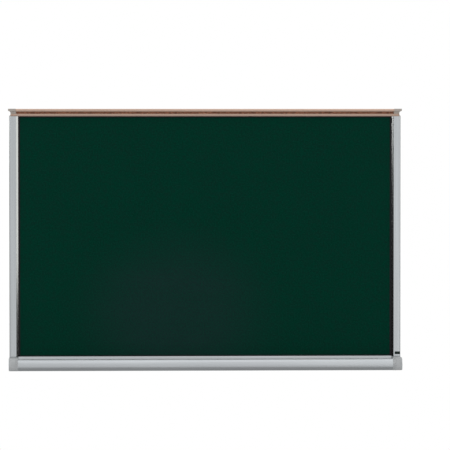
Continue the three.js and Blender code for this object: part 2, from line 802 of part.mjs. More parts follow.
// Lower wall clip: screwed to the wall, with an upturned lip in front of the tray's rear wall
function wallClip() {
  const shelfTop = trayRearFoot - fitGap;
  const lipStart = rearWallFront + fitGap;
  const section = polygon([
    [0, clipFoot],
    [0, shelfTop],
    [lipStart, shelfTop],
    [lipStart, shelfTop + clipLipHeight],
    [lipStart + clipGauge, shelfTop + clipLipHeight],
    [lipStart + clipGauge, shelfTop - clipGauge],
    [clipGauge, shelfTop - clipGauge],
    [clipGauge, clipFoot]
  ]);
  const hole = wallScrewHole(0, clipFoot + (shelfTop - clipGauge - clipFoot) / 2);
  return cut(alongX(section, -clipWidth / 2, clipWidth / 2), [hole]);
}

// Bare plate near the foot of the right side trim
function barePlate() {
  const x = halfWidth - plateInset - plateWidth / 2;
  const z = sideTrimFoot + plateLift + plateHeight / 2;
  const outline = roundedRectangle(x, z, plateWidth, plateHeight, plateCornerRadius);
  return alongDepth(outline, trimFront, trimFront + plateThickness);
}

// The board is drawn with its tray's underside at z = 0 and moved so that
// the middle of the hanger rail's back face is the origin
const board = new THREE.Group();
board.position.z = -hangerMiddle;

board.add(part('writing_sheet', panelSheet(coreFront, panelFront), 'greenEnamel'));
board.add(part('core_board', panelSheet(coreBack, coreFront), 'fibreboard'));
board.add(part('backing_sheet', panelSheet(panelBack, coreBack), 'backingMetal'));
board.add(part('map_rail', mapRail(), 'satinAluminium'));
board.add(part('cork_strip', corkStrip(), 'cork'));
board.add(part('chalk_tray', chalkTray(), 'satinAluminium'));
board.add(part('gasket_top', levelGasket(railFoot, -1), 'blackVinyl'));
board.add(part('gasket_bottom', levelGasket(trayLipTop, 1), 'blackVinyl'));
board.add(part('hanger_rail', hangerRail(), 'millAluminium'));
board.add(part('blank_plate', barePlate(), 'blackPlate'));

for (const { name, sign } of sides) {
  board.add(part(`${name}_side_trim`, sideTrim(sign), 'satinAluminium'));
  board.add(part(`gasket_${name}`, sideGasket(sign), 'blackVinyl'));
  board.add(part(`rail_end_stop_${name}`, endStop(sign), 'stopPlastic'));
  board.add(part(`tray_end_cap_${name}`, trayEndCap(sign), 'greyPlastic'));
  const clip = part(`lower_wall_clip_${name}`, wallClip(), 'zincSteel');
  clip.position.x = (sign * clipSpacing) / 2;
  board.add(clip);
  for (const place of capScrewPlaces(sign)) {
    const geometry = capScrewAt(sign, place, 0);
    board.add(part(`cap_screw_${name}_${place.name}`, geometry, 'zincSteel'));
  }
}

for (const place of frameScrewPlaces()) {
  const geometry = crossScrew(
    frameScrewRadius, frameScrewHeadRadius, frameScrewHeadHeight, place.length
  );
  board.add(part(place.name, placeScrew(geometry, place), 'zincSteel'));
}

const chalkboard = new THREE.Group();
chalkboard.name = 'chalkboard';
chalkboard.add(board);

export default chalkboard;
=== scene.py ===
"""Wall-hung chalkboard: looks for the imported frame.

The shapes are surfaces worked out with numpy. Sizes inside the functions are in
millimetres, in the board's own frame: x to the right, depth out from the building
wall, height up from the underside of the tray. They become metres, in the frame of
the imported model, when a mesh is made.
"""

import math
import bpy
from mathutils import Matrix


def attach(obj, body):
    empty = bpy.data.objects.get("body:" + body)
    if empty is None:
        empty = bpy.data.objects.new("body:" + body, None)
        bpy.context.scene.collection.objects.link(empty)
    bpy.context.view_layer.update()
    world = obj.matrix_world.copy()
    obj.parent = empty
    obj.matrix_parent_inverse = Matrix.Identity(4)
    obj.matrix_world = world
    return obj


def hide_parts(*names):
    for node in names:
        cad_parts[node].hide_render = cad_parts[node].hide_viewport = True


bl_info = {
    "name": "Framed Chalkboard",
    "version": (1, 0, 0),
    "blender": (4, 5, 0),
    "location": "View3D > Sidebar > Chalkboard",
    "description": "Builds a framed chalkboard with a cork map rail and a chalk tray",
    "category": "Add Mesh",
}

from types import SimpleNamespace

import bmesh
import bpy
import numpy as np
from bpy.props import FloatProperty, FloatVectorProperty, PointerProperty
from mathutils import Vector
from mathutils.geometry import delaunay_2d_cdt

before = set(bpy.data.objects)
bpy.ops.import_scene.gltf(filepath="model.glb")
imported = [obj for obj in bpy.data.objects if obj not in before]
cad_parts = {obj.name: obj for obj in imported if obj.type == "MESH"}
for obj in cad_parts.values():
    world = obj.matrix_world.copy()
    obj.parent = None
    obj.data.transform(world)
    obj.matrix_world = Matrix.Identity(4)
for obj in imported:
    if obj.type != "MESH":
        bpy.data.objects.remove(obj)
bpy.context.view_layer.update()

SIDES = (("left", -1), ("right", 1))
METRE = 0.001
WHITE = (1, 1, 1, 1)

# Thicknesses, clearances and small steps, in millimetres
WALL = 1.6
FIT = 0.3
LOOSE = 0.6
ROUND = 0.35
RAIL_LIP = 1.4
LIP_SLOPE = 1.0
GASKET = 1.1
HANGER_GAUGE = 2.0
CLIP_GAUGE = 1.5
CAP_PLATE = 1.6
STOP_PLATE = 2.6
STOP_INSET = 4.0
STOP_HEAD = 15.0
STOP_PROUD = 0.4

# Gaskets: how far each reaches under the frame, and how far it shows, in millimetres
UPRIGHT_GASKET = (4.0, 4.3)
LEVEL_GASKET = (2.0, 2.6)

# Half the usual distance between the studs in a building wall, in millimetres
HALF_STUDS = 203.2

# Countersunk screws, in millimetres: thread's radius, head's radius and height, pitch, and the thread's grip
FRAME_SCREW = SimpleNamespace(radius=1.7, head=3.3, sink=2.1, pitch=1.3, grip=14)
CAP_SCREW = SimpleNamespace(radius=1.4, head=2.8, sink=1.5, pitch=1.1, grip=10)


def linear(code):
    """An sRGB hex colour as linear RGBA: c / 12.92 up to 0.04045, else ((c + 0.055) / 1.055) ** 2.4."""
    channels = np.array([int(code[i:i + 2], 16) for i in (0, 2, 4)]) / 255
    curve = np.where(channels <= 0.04045, channels / 12.92, ((channels + 0.055) / 1.055) ** 2.4)
    return (*curve.tolist(), 1.0)


def size(name, default, description):
    """A length that a user may change, in metres."""
    return FloatProperty(
        name=name, description=description, default=default, min=0.0, unit="LENGTH", subtype="DISTANCE"
    )


def colour(name, code, description):
    """A colour that a user may change."""
    return FloatVectorProperty(
        name=name, description=description, default=linear(code)[:3],
        size=3, min=0.0, max=1.0, subtype="COLOR"
    )


class BoardSizes(bpy.types.PropertyGroup):
    """Sizes of the board's frame, rail and tray"""

    board_width: size("Board width", 0.9144, "Between the outer faces of the side trims")
    board_height: size("Board height", 0.6096, "From the underside of the tray to the top of the rail")
    panel_thickness: size("Panel thickness", 0.012, "Laminated panel, without its gaskets")
    trim_proud: size("Trim stands proud", 0.005, "How far the side trims stand out from the writing face")
    chamber_width: size("Chamber width", 0.0096, "Hollow outer part of a side trim")
    face_width: size("Face width", 0.016, "Flat front face of a side trim")
    bevel_width: size("Bevel width", 0.0047, "Sloping lip between the flat face and the panel")
    bevel_drop: size("Bevel drop", 0.0026, "How far the sloping lip falls back")
    rail_height: size("Rail height", 0.0172, "Height of the map rail's front")
    cork_opening: size("Cork opening", 0.0049, "Height of the cork that shows between the rail's lips")
    tray_projection: size("Tray projection", 0.0635, "From the building wall to the front of the tray")
    tray_lip_top: size("Tray lip top", 0.0315, "Top of the lip that covers the panel's lower edge")
    nose_radius: size("Nose radius", 0.0205, "Radius of the tray's bull nose")
    trough_width: size("Trough width", 0.032, "Width of the chalk trough")
    cap_width: size("Cap width", 0.020, "Width of a tray end cap")
    hanger_length: size("Hanger length", 0.6, "Length of the rail that is screwed to the building wall")
    clip_spacing: size("Clip spacing", 0.6, "Distance between the middles of the lower wall clips")
    plate_width: size("Plate width", 0.0124, "Width of the small bare plate")
    plate_height: size("Plate height", 0.0063, "Height of the small bare plate")


class BoardColours(bpy.types.PropertyGroup):
    """Colours of the board's finishes"""

    enamel: colour("Enamel", "002e22", "Dark green writing face")
    # Painted reflection: this greyer colour tints a patch low in the middle of the writing face
    enamel_reflection: colour("Enamel haze", "172b2b", "Greyer patch, a painted reflection low in the middle of the face")
    aluminium: colour("Aluminium", "b6babd", "Clear-anodised side trims and tray")
    rail_aluminium: colour("Rail aluminium", "c9ae9e", "Champagne-anodised map rail")
    mill: colour("Mill aluminium", "a6a8aa", "Unfinished aluminium of the hanger rail")
    cork: colour("Cork", "9a6a52", "Middle tone of the cork granules")
    cork_dark: colour("Dark cork", "4f2f22", "Bark specks between the granules")
    # Partly painted shade: the gaskets' teal black also stands for the shadow line between the frame and the
    # writing face
    vinyl: colour("Vinyl", "04181b", "Black gasket")
    cap: colour("Cap", "b0b3b5", "Grey moulded end caps")
    stop: colour("Stop", "aba39c", "Warm grey moulded rail end stops")
    zinc: colour("Zinc", "b9bab2", "Bright zinc plating of screws and clips")
    backing: colour("Backing", "9ea3a6", "Galvanised backing sheet")
    board: colour("Fibreboard", "7a5a3c", "Core of the panel")
    plate: colour("Plate", "10201d", "Black-anodised bare plate")


def measures(group):
    """Every size in millimetres: the sidebar's, and the depths, heights and reaches that follow from them."""
    m = SimpleNamespace(**{key: getattr(group, key) / METRE for key in BoardSizes.__annotations__})
    m.half = m.board_width / 2
    # Depths, from the building wall out
    m.hook_out = 0.6
    m.hook_front = m.hook_out + 1.8
    m.hanger_lip_back = m.hook_front + FIT
    m.hanger_lip_front = m.hanger_lip_back + HANGER_GAUGE
    m.rear_back = m.hanger_lip_front + LOOSE
    m.rear_front = m.rear_back + WALL
    m.panel_back = m.rear_front + FIT
    m.panel_front = m.panel_back + m.panel_thickness
    m.lip_back = m.panel_front + GASKET + FIT
    m.lip_front = m.lip_back + WALL
    m.trim_front = m.panel_front + m.trim_proud
    m.groove_floor = m.panel_front + FIT + WALL
    m.low_lip_front = m.trim_front + 1
    m.top_lip_front = m.low_lip_front + 1.5
    m.lip_inside = m.low_lip_front - RAIL_LIP
    m.cork_front = m.lip_inside - FIT
    m.ports = (m.panel_back + 1.0, m.panel_front - 3.6)
    # Heights of the map rail and the hanger
    m.rail_foot = m.board_height - m.rail_height
    m.web_foot = m.rail_foot + 10
    m.opening_foot = m.rail_foot + 5.7
    m.opening_top = m.opening_foot + m.cork_opening
    m.groove_foot = m.opening_foot - 1.2
    m.groove_top = m.opening_top + 1.2
    m.hook_foot = m.rail_foot + 4
    m.step_top = m.hook_foot - FIT
    m.middle = m.step_top - 10
    # Heights of the tray and the trims
    m.trim_foot = 29.5
    m.pocket = 22
    m.panel_foot = m.pocket + LOOSE
    m.rear_foot = 12
    m.rear_top = 30.5
    m.trough_floor = 9
    m.trough_corner = 10
    m.chamber_top = 21
    m.nose = (m.tray_projection - m.nose_radius, 10.5)
    m.foot_radius = 4
    # Reaches in from the frame's side
    m.lip_reach = m.face_width + m.bevel_width
    m.port_reach = m.chamber_width / 2
    m.rear_leg_reach = 20
    m.cap_port_radius = CAP_SCREW.radius + 1.4
    edge = WALL + m.cap_port_radius - 0.2
    m.cap_ports = (
        ("rear", m.lip_front + edge - WALL, edge, math.pi / 2),
        ("front", m.tray_projection - edge, m.nose[1], math.pi),
    )
    return m


# Outlines: rows of (u, v, fillet radius)

def line(*rows):
    """Rows of an outline. A row without a third number is a sharp corner."""
    return np.array([(*row, 0.0)[:3] for row in rows], float)


def arc(centre, radius, start, end, steps=24):
    """Circle points: the centre plus radius times (cosine, sine) of even angles from start to end."""
    angles = np.linspace(start, end, steps)
    return np.column_stack((
        centre[0] + radius * np.cos(angles), centre[1] + radius * np.sin(angles), np.zeros(steps)
    ))


def joined(*rows):
    """One outline's rows, without any point that repeats the one before it."""
    table = np.concatenate(rows)
    apart = np.linalg.norm(table[:, :2] - np.roll(table[:, :2], 1, 0), axis=1)
    return table[apart > 1e-3]


def rounded(*rows, steps=5):
    """A closed outline with its corners rounded.

    At a corner P whose edges leave along the unit vectors a and b, with the angle t between them, the arc's
    centre is P + (a + b) / |a + b| * radius / sin(t / 2). It touches the edges radius / tan(t / 2) from P,
    and its points swing evenly from one touching point to the other. A radius too large for its edges is cut
    down.
    """
    table = joined(*rows)
    point, radius = table[:, :2], table[:, 2]
    a = np.roll(point, 1, 0) - point
    b = np.roll(point, -1, 0) - point
    reach_a = np.linalg.norm(a, axis=1)
    reach_b = np.linalg.norm(b, axis=1)
    a /= reach_a[:, None]
    b /= reach_b[:, None]
    half = np.arccos(np.clip((a * b).sum(1), -1, 1)) / 2
    touch = radius / np.maximum(np.tan(half), 1e-6)
    shrink = np.minimum(1, 0.48 * np.minimum(reach_a, reach_b) / np.maximum(touch, 1e-9))
    radius, touch = radius * shrink, touch * shrink
    toward = a + b
    toward /= np.maximum(np.linalg.norm(toward, axis=1), 1e-9)[:, None]
    centre = point + toward * (radius / np.sin(half))[:, None]
    first = point + a * touch[:, None] - centre
    last = point + b * touch[:, None] - centre
    start = np.arctan2(first[:, 1], first[:, 0])
    sweep = np.arctan2(last[:, 1], last[:, 0]) - start
    sweep = (sweep + math.pi) % (2 * math.pi) - math.pi
    angle = start[:, None] + sweep[:, None] * np.linspace(0, 1, steps)
    swing = np.stack((np.cos(angle), np.sin(angle)), 2) * radius[:, None, None]
    return joined((centre[:, None] + swing).reshape(-1, 2))


def turned_left(outline):
    """The outline, running anticlockwise: its signed area is made positive."""
    after = np.roll(outline, -1, 0)
    area = (outline[:, 0] * after[:, 1] - after[:, 0] * outline[:, 1]).sum()
    return outline if area > 0 else outline[::-1]


def grown(outline, distance):
    """An anticlockwise outline moved outwards.

    Each point goes the distance along (n + k) / (1 + n . k), where n and k are the normals of its two edges.
    """
    edge = np.roll(outline, -1, 0) - outline
    edge /= np.linalg.norm(edge, axis=1)[:, None]
    after = np.column_stack((edge[:, 1], -edge[:, 0]))
    before = np.roll(after, 1, 0)
    meeting = np.maximum(1 + (after * before).sum(1), 0.35)
    return outline + (after + before) / meeting[:, None] * distance


def inset(table, distance):
    """The rows' outline, rounded, with its edges moved in by a distance.

    The fillets of its outward corners shrink by the distance, those of its inward corners grow by it.
    """
    table = turned_left(table)
    ahead = np.roll(table[:, :2], -1, 0) - table[:, :2]
    behind = np.roll(ahead, 1, 0)
    outward = behind[:, 0] * ahead[:, 1] > behind[:, 1] * ahead[:, 0]
    radius = np.maximum(table[:, 2] + np.where(outward, -distance, distance), 0.05)
    return rounded(np.column_stack((grown(table[:, :2], -distance), np.where(table[:, 2] > 0, radius, 0))))


# Meshes

def put(name, data):
    """A new object, linked to the scene."""
    item = bpy.data.objects.new(name, data)
    bpy.context.scene.collection.objects.link(item)
    return item


def settle(m, vertices, faces):
    """A mesh object at the origin from millimetre points in the board's frame, its faces turned outwards."""
    world = np.column_stack((vertices[:, 0], -vertices[:, 1], vertices[:, 2] - m.middle)) * METRE
    mesh = bpy.data.meshes.new("shape")
    mesh.from_pydata(world.tolist(), [], faces)
    work = bmesh.new()
    work.from_mesh(mesh)
    bmesh.ops.recalc_face_normals(work, faces=work.faces)
    work.to_mesh(mesh)
    work.free()
    return put("shape", mesh)


def following(loops):
    """Of each point in outlines laid end to end, of so many points each: the next point's number."""
    starts = np.cumsum([0, *loops[:-1]])
    return np.concatenate([np.roll(np.arange(start, start + loop), -1) for start, loop in zip(starts, loops)])


def filled(flat, loops):
    """Triangles between an outline and its holes.

    Of a triangulation that keeps every outline edge, those stay whose middle a level ray to the right leads
    out through an odd number of edges.
    """
    edges = np.column_stack((np.arange(len(flat)), following(loops)))
    points = [Vector(point) for point in flat.tolist()]
    _, _, faces, origins, _, _ = delaunay_2d_cdt(points, edges.tolist(), [], 0, 1e-6)
    own = np.array([origin[0] for origin in origins])
    triangles = own[np.array(faces)]
    middle = flat[triangles].mean(1)[:, None]
    a, b = flat[edges[:, 0]], flat[edges[:, 1]]
    between = (a[:, 1] > middle[..., 1]) != (b[:, 1] > middle[..., 1])
    rise = np.where(a[:, 1] == b[:, 1], 1, b[:, 1] - a[:, 1])
    crossing = a[:, 0] + (middle[..., 1] - a[:, 1]) / rise * (b[:, 0] - a[:, 0])
    return triangles[(between & (middle[..., 0] < crossing)).sum(1) % 2 == 1]


def skin(m, stations, flat, loops=None):
    """A closed surface through matching rings.

    stations holds one ring of points after another, flat the ring's outline as drawn on paper and loops the
    number of points in its outer outline and in each hole. Ring i joins ring i + 1 by a row of four-sided
    faces, and both end rings are filled.
    """
    stations = np.array(stations)
    loops = loops or [len(flat)]
    rings, count = stations.shape[:2]
    first, second = np.arange(count), following(loops)
    row = np.column_stack((first, second, second + count, first + count))
    quads = (row + count * np.arange(rings - 1)[:, None, None]).reshape(-1, 4)
    cap = filled(flat, loops)
    caps = np.concatenate((cap[:, ::-1], cap + count * (rings - 1)))
    return settle(m, stations.reshape(-1, 3), quads.tolist() + caps.tolist())


def bar(m, outer, ends, holes=(), axis=0):
    """A closed bar: an outline with its holes, carried straight between two ends.

    It runs along x from a (depth, height) outline, or, with axis 2, up from an (x, depth) outline.
    """
    outlines = [turned_left(outer), *(turned_left(hole)[::-1] for hole in holes)]
    flat = np.concatenate(outlines)
    stations = [np.insert(flat, axis, end, 1) for end in ends]
    return skin(m, stations, flat, [len(outline) for outline in outlines])


def block(m, sign, reach, depth, height):
    """A block near an end of the board: between two reaches in from its side, two depths and two heights."""
    outline = np.column_stack((np.take(depth, (0, 1, 1, 0)), np.take(height, (0, 0, 1, 1))))
    return bar(m, outline, sorted(sign * (m.half - at) for at in reach))


def cylinder(radius, length):
    """(radius, distance) points of a plain cylinder."""
    return np.array([(0.05, 0), (radius, 0), (radius, length), (0.05, length)])


def turned(m, profile, place, axis, way=1, steps=32, thread=None):
    """A turned surface.

    At angle a the profile's (radius, distance) point lies radius * (cos a, sin a) off the axis. thread adds
    to the radius: a function of the angle and of the distance along the axis. axis is 0, 1 or 2 for x, depth
    or height, way is 1 or -1 along it, and place is where distance 0 lies.
    """
    angle = np.linspace(0, 2 * math.pi, steps, endpoint=False)
    radius, along = (np.repeat(profile[:, i:i + 1], steps, 1) for i in (0, 1))
    if thread is not None:
        radius = radius + thread(angle, along)
    circle = np.column_stack((np.cos(angle), np.sin(angle)))
    local = [radius * circle[:, 0], radius * circle[:, 1]]
    local.insert(axis, along * way)
    return skin(m, np.stack(local, 2) + np.array(place, float), circle)


def boolean(piece, others, operation="DIFFERENCE"):
    """Cut other closed shapes out of a piece, or join them to it, and delete them.

    Corners less than two microns apart are made one, and any pinhole that leaves in the surface is closed.
    """
    for other in others:
        modifier = piece.modifiers.new("shape", "BOOLEAN")
        modifier.operation = operation
        modifier.solver = "EXACT"
        modifier.object = other
    depsgraph = bpy.context.evaluated_depsgraph_get()
    shaped = bpy.data.meshes.new_from_object(piece.evaluated_get(depsgraph))
    welded = bmesh.new()
    welded.from_mesh(shaped)
    bmesh.ops.remove_doubles(welded, verts=welded.verts, dist=2e-6)
    bmesh.ops.holes_fill(welded, edges=[edge for edge in welded.edges if edge.is_boundary], sides=0)
    welded.to_mesh(shaped)
    welded.free()
    plain = piece.data
    piece.modifiers.clear()
    piece.data = shaped
    bpy.data.meshes.remove(plain)
    for other in others:
        bpy.data.objects.remove(other)
    return piece


def dress(piece, node, material, angle=32):
    """Name a piece after its node, shade it smoothly up to an angle, give it its material and its place."""
    mesh = piece.data
    if not mesh.polygons:
        raise RuntimeError(f"{node} came out empty")
    piece.name = mesh.name = f"fine_{node}"
    mesh.shade_smooth()
    mesh.set_sharp_from_angle(angle=math.radians(angle))
    mesh.materials.clear()
    mesh.materials.append(material)
    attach(piece, "root")
    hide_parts(node)


def repaint(node, material):
    """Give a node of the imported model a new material."""
    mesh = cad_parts[node].data
    mesh.materials.clear()
    mesh.materials.append(material)


# Nodes of materials

def empty_tree(owner):
    """The node tree of a new material or world, without its first nodes."""
    owner.use_nodes = True
    owner.node_tree.nodes.clear()
    return owner.node_tree


def add_node(tree, kind, values=()):
    """Add a node. Each value is another node's output to link, an input's own value, or a field's value."""
    node = tree.nodes.new(kind)
    for key, value in dict(values).items():
        if isinstance(value, bpy.types.NodeSocket):
            tree.links.new(value, node.inputs[key])
        elif isinstance(key, int) or key in node.inputs:
            node.inputs[key].default_value = value
        else:
            setattr(node, key, value)
    return node


def mapped(tree, **mapping):
    """Object coordinates, mapped."""
    where = add_node(tree, "ShaderNodeTexCoord").outputs["Object"]
    return add_node(tree, "ShaderNodeMapping", {**mapping, "Vector": where}).outputs[0]


def texture(tree, kind, sizes, output, **values):
    """A texture at Object coordinates, its grain of a real size in metres: one number, or one per axis."""
    where = mapped(tree, Scale=tuple(1 / np.broadcast_to(sizes, 3)))
    return add_node(tree, kind, {"Scale": 1.0, **values, "Vector": where}).outputs[output]


def noise(tree, sizes, detail=2.0, output=0):
    """Cloudy noise of a real size in metres."""
    return texture(tree, "ShaderNodeTexNoise", sizes, output, Detail=detail)


def separate(tree, output):
    """The three channels of a colour."""
    return add_node(tree, "ShaderNodeSeparateColor", {0: output}).outputs


def distance(tree, vector):
    """The length of a vector."""
    return add_node(tree, "ShaderNodeVectorMath", {"operation": "LENGTH", 0: vector}).outputs["Value"]


def reckoned(tree, operation, *terms):
    """The result of a Math node, from numbers or other nodes' outputs."""
    return add_node(tree, "ShaderNodeMath", {"operation": operation, **dict(enumerate(terms))}).outputs[0]


def spread(tree, output, low, high, to_low=0, to_high=1):
    """A value from low to high spread over to_low to to_high, smoothly."""
    return add_node(tree, "ShaderNodeMapRange", {
        "interpolation_type": "SMOOTHSTEP", 0: output, 1: low, 2: high, 3: to_low, 4: to_high
    }).outputs[0]


def blend(tree, factor, first, second):
    """A colour between two, each a constant or another node's output."""
    return add_node(tree, "ShaderNodeMix", {"data_type": "RGBA", 0: factor, 6: first, 7: second}).outputs[2]


def mixed(tree, factor, first, second):
    """A shader between two."""
    return add_node(tree, "ShaderNodeMixShader", {0: factor, 1: first, 2: second}).outputs[0]


def shade(rgb, factor):
    """A linear colour made lighter or darker."""
    return (*[min(1.0, channel * factor) for channel in rgb[:3]], 1.0)


def tones(tree, factor, rgb, dark, light):
    """One colour in shades from dark to light."""
    return blend(tree, factor, shade(rgb, dark), shade(rgb, light))


def coat(tree, constants, colour, relief, roughness=None):
    """The Principled shader, with constants on its own sockets and its look from other nodes.

    relief is a height from 0 to 1, the metres that 1 stands for, and a strength.
    """
    height, deep, strength = relief
    bump = add_node(tree, "ShaderNodeBump", {"Strength": strength, "Distance": deep, "Height": height})
    shader = add_node(tree, "ShaderNodeBsdfPrincipled", constants)
    for key, output in (("Base Color", colour), ("Roughness", roughness), ("Normal", bump.outputs[0])):
        if output is not None:
            tree.links.new(output, shader.inputs[key])
    add_node(tree, "ShaderNodeOutputMaterial", {"Surface": shader.outputs[0]})


def finish(name, fill, *details):
    """The material of a name. If there is none yet, one of the functions below fills in its nodes."""
    material = bpy.data.materials.get(name)
    if material is None:
        material = bpy.data.materials.new(name)
        fill(empty_tree(material), *details)
    return material


# Finishes

def extruded_aluminium(tree, rgb, along, roughness):
    """Aluminium extruded through a die, satin etched and anodised.

    The etch makes soft, wide highlights. The die leaves faint straight lines the length of the bar. Those are
    about 0.3 mm apart on the real thing and drawn at 1.4 mm here, so that some of them still show.
    """
    lengthwise = np.arange(3) == along
    lines = noise(tree, np.where(lengthwise, 0.6, 0.0014), 1.0)
    bands = noise(tree, np.where(lengthwise, 0.35, 0.012), 1.0)
    grain = noise(tree, 0.0012)
    banded = tones(tree, spread(tree, bands, 0.3, 0.7), rgb, 0.95, 1.05)
    lined = blend(tree, spread(tree, lines, 0.35, 0.65, 0, 0.32), banded, shade(rgb, 0.84))
    rough = spread(tree, grain, 0.25, 0.75, roughness - 0.03, roughness + 0.03)
    coat(tree, {"Metallic": 1.0, "Roughness": roughness}, lined, (lines, 0.00003, 0.5), rough)


def porcelain_enamel(tree, green, haze, patch_height):
    """Matt porcelain enamel fired on steel sheet, the writing face.

    Its ground-in grit gives no mirror, only a fine even grain: 0.1 mm grit drawn at 1.6 mm. The green is
    cloudy over a hand's width. The greyer patch low in the middle is a painted reflection, broken by wipe
    streaks.
    """
    clouds = noise(tree, 0.11, 3.0)
    grain = noise(tree, 0.0032, 3.0)
    mottle = noise(tree, 0.008)
    wiped = noise(tree, (0.35, 1.0, 0.045))
    # Painted reflection: a greyer patch low in the middle, strongest at its centre, broken by level wipe
    # streaks
    patch = mapped(
        tree, vector_type="TEXTURE", Location=(-0.068, 0.0, patch_height), Scale=(0.27, 1.0, 0.235)
    )
    reflected = spread(tree, distance(tree, patch), 0.25, 1.05, 1.0, 0.0)
    uneven = reckoned(tree, "MULTIPLY", reflected, spread(tree, wiped, 0.2, 0.8, 0.75, 1.1))
    cloudy = tones(tree, spread(tree, clouds, 0.3, 0.7), green, 0.97, 1.06)
    hazed = blend(tree, uneven, cloudy, haze)
    mottled = blend(tree, spread(tree, mottle, 0.35, 0.65, 0, 0.3), hazed, shade(haze, 0.7))
    speckled = blend(tree, spread(tree, grain, 0.35, 0.7, 0, 0.6), mottled, shade(green, 1.8))
    rough = spread(tree, clouds, 0.2, 0.8, 0.56, 0.7)
    coat(tree, {"Roughness": 0.62, "Specular IOR Level": 0.02}, speckled, (grain, 0.00006, 0.6), rough)


def agglomerated_cork(tree, cork, bark):
    """Pressed cork granules, sliced into a strip.

    Granules of 1 to 3 mm, each its own shade of brown, with dark bark in the joints and a dry matt surface.
    """
    granules = "ShaderNodeTexVoronoi", 0.0028
    shades = separate(tree, texture(tree, *granules, "Color"))
    edges = texture(tree, *granules, "Distance", feature="DISTANCE_TO_EDGE")
    specks = noise(tree, 0.0009)
    granule = tones(tree, shades[0], cork, 0.62, 1.3)
    barked = blend(tree, spread(tree, shades[1], 0.82, 0.9, 0, 0.7), granule, bark)
    jointed = blend(tree, spread(tree, edges, 0.0, 0.12, 0.75, 0), barked, bark)
    dotted = blend(tree, spread(tree, specks, 0.58, 0.7, 0, 0.4), jointed, bark)
    coat(tree, {"Roughness": 0.92, "Specular IOR Level": 0.2}, dotted, (edges, 0.0004, 0.8))


def soft_vinyl(tree, black):
    """Black extruded vinyl: dull, with a faint greasy sheen and draw marks, 2 mm apart."""
    marks = noise(tree, 0.002)
    marked, rough = tones(tree, marks, black, 0.7, 1.6), spread(tree, marks, 0.2, 0.8, 0.52, 0.7)
    coat(tree, {"Roughness": 0.6, "Specular IOR Level": 0.03}, marked, (marks, 0.00005, 0.5), rough)


def moulded_plastic(tree, rgb, roughness):
    """ABS from a spark-eroded mould: even colour, a fine matt grain of 0.2 mm drawn at 0.9 mm, soft sheen."""
    grain = noise(tree, 0.0009)
    flow = noise(tree, 0.02)
    toned = tones(tree, spread(tree, flow, 0.3, 0.7), rgb, 0.95, 1.05)
    grained = blend(tree, spread(tree, grain, 0.4, 0.7, 0, 0.25), toned, shade(rgb, 0.85))
    rough = spread(tree, grain, 0.2, 0.8, roughness - 0.05, roughness + 0.08)
    coat(tree, {"Roughness": roughness, "Specular IOR Level": 0.4}, grained, (grain, 0.00004, 0.6), rough)


def bright_zinc(tree, zinc):
    """Zinc-plated, passivated steel: bright, slightly cloudy, with a faint straw tint in 4 mm patches."""
    clouds = noise(tree, 0.004, 3.0)
    straw = (zinc[0], zinc[1] * 0.93, zinc[2] * 0.78, 1.0)
    tinted = blend(tree, spread(tree, clouds, 0.4, 0.75, 0, 0.8), zinc, straw)
    rough = spread(tree, clouds, 0.2, 0.8, 0.22, 0.42)
    coat(tree, {"Metallic": 1.0, "Roughness": 0.3}, tinted, (clouds, 0.00003, 0.4), rough)


def galvanised_steel(tree, zinc):
    """Hot-dip galvanised sheet: flat crystals 9 to 15 mm across, each reflecting a little differently."""
    pushed = add_node(tree, "ShaderNodeVectorMath", {
        "operation": "MULTIPLY_ADD", 0: noise(tree, 0.01, 2.0, "Color"), 1: (0.006, 0.006, 0.006),
        2: add_node(tree, "ShaderNodeTexCoord").outputs["Object"],
    }).outputs[0]
    crystals = add_node(tree, "ShaderNodeTexVoronoi", {"Scale": 1 / 0.013, "Vector": pushed})
    shades = separate(tree, crystals.outputs["Color"])
    spangled, rough = tones(tree, shades[0], zinc, 0.9, 1.08), spread(tree, shades[1], 0, 1, 0.34, 0.52)
    coat(tree, {"Metallic": 1.0, "Roughness": 0.42}, spangled, (shades[2], 0.00002, 0.3), rough)


def fibreboard(tree, brown):
    """Soft fibreboard: pressed wood fibres, 6 mm long and 0.4 mm thick, matt and hairy at a sawn edge."""
    fibres = noise(tree, (0.006, 0.0008, 0.006), 4.0)
    pressed = tones(tree, spread(tree, fibres, 0.3, 0.7), brown, 0.6, 1.35)
    coat(tree, {"Roughness": 0.95, "Specular IOR Level": 0.15}, pressed, (fibres, 0.0003, 0.7))


def black_anodised(tree, black):
    """Thin aluminium plate, brushed lengthwise and anodised black: a satin sheen in lines 0.3 mm apart."""
    brushed = noise(tree, (0.012, 0.0003, 0.0003), 1.0)
    constants = {"Metallic": 0.25, "Roughness": 0.45, "Specular IOR Level": 0.25}
    rough = spread(tree, brushed, 0.2, 0.8, 0.36, 0.56)
    coat(tree, constants, tones(tree, brushed, black, 0.6, 1.5), (brushed, 0.00002, 0.5), rough)


# Shapes that more than one piece needs

def screw_places(m):
    """(name, screw, place of the head's top, length, axis, way the head faces) of every screw."""
    under = m.pocket - WALL
    for side, sign in SIDES:
        for row, depth in zip(("rear", "front"), m.ports):
            name, x = f"{side}_{row}", sign * (m.half - m.port_reach)
            down, up = m.rail_height + FRAME_SCREW.grip, m.trim_foot - under + FRAME_SCREW.grip
            yield f"frame_screw_top_{name}", FRAME_SCREW, (x, depth, m.board_height), down, 2, 1
            yield f"frame_screw_bottom_{name}", FRAME_SCREW, (x, depth, under), up, 2, -1
    for side, sign in SIDES:
        for row, depth, height, _ in m.cap_ports:
            place = (sign * (m.half + CAP_PLATE), depth, height)
            length = m.cap_width + CAP_PLATE + CAP_SCREW.grip
            yield f"cap_screw_{side}_{row}", CAP_SCREW, place, length, 0, sign


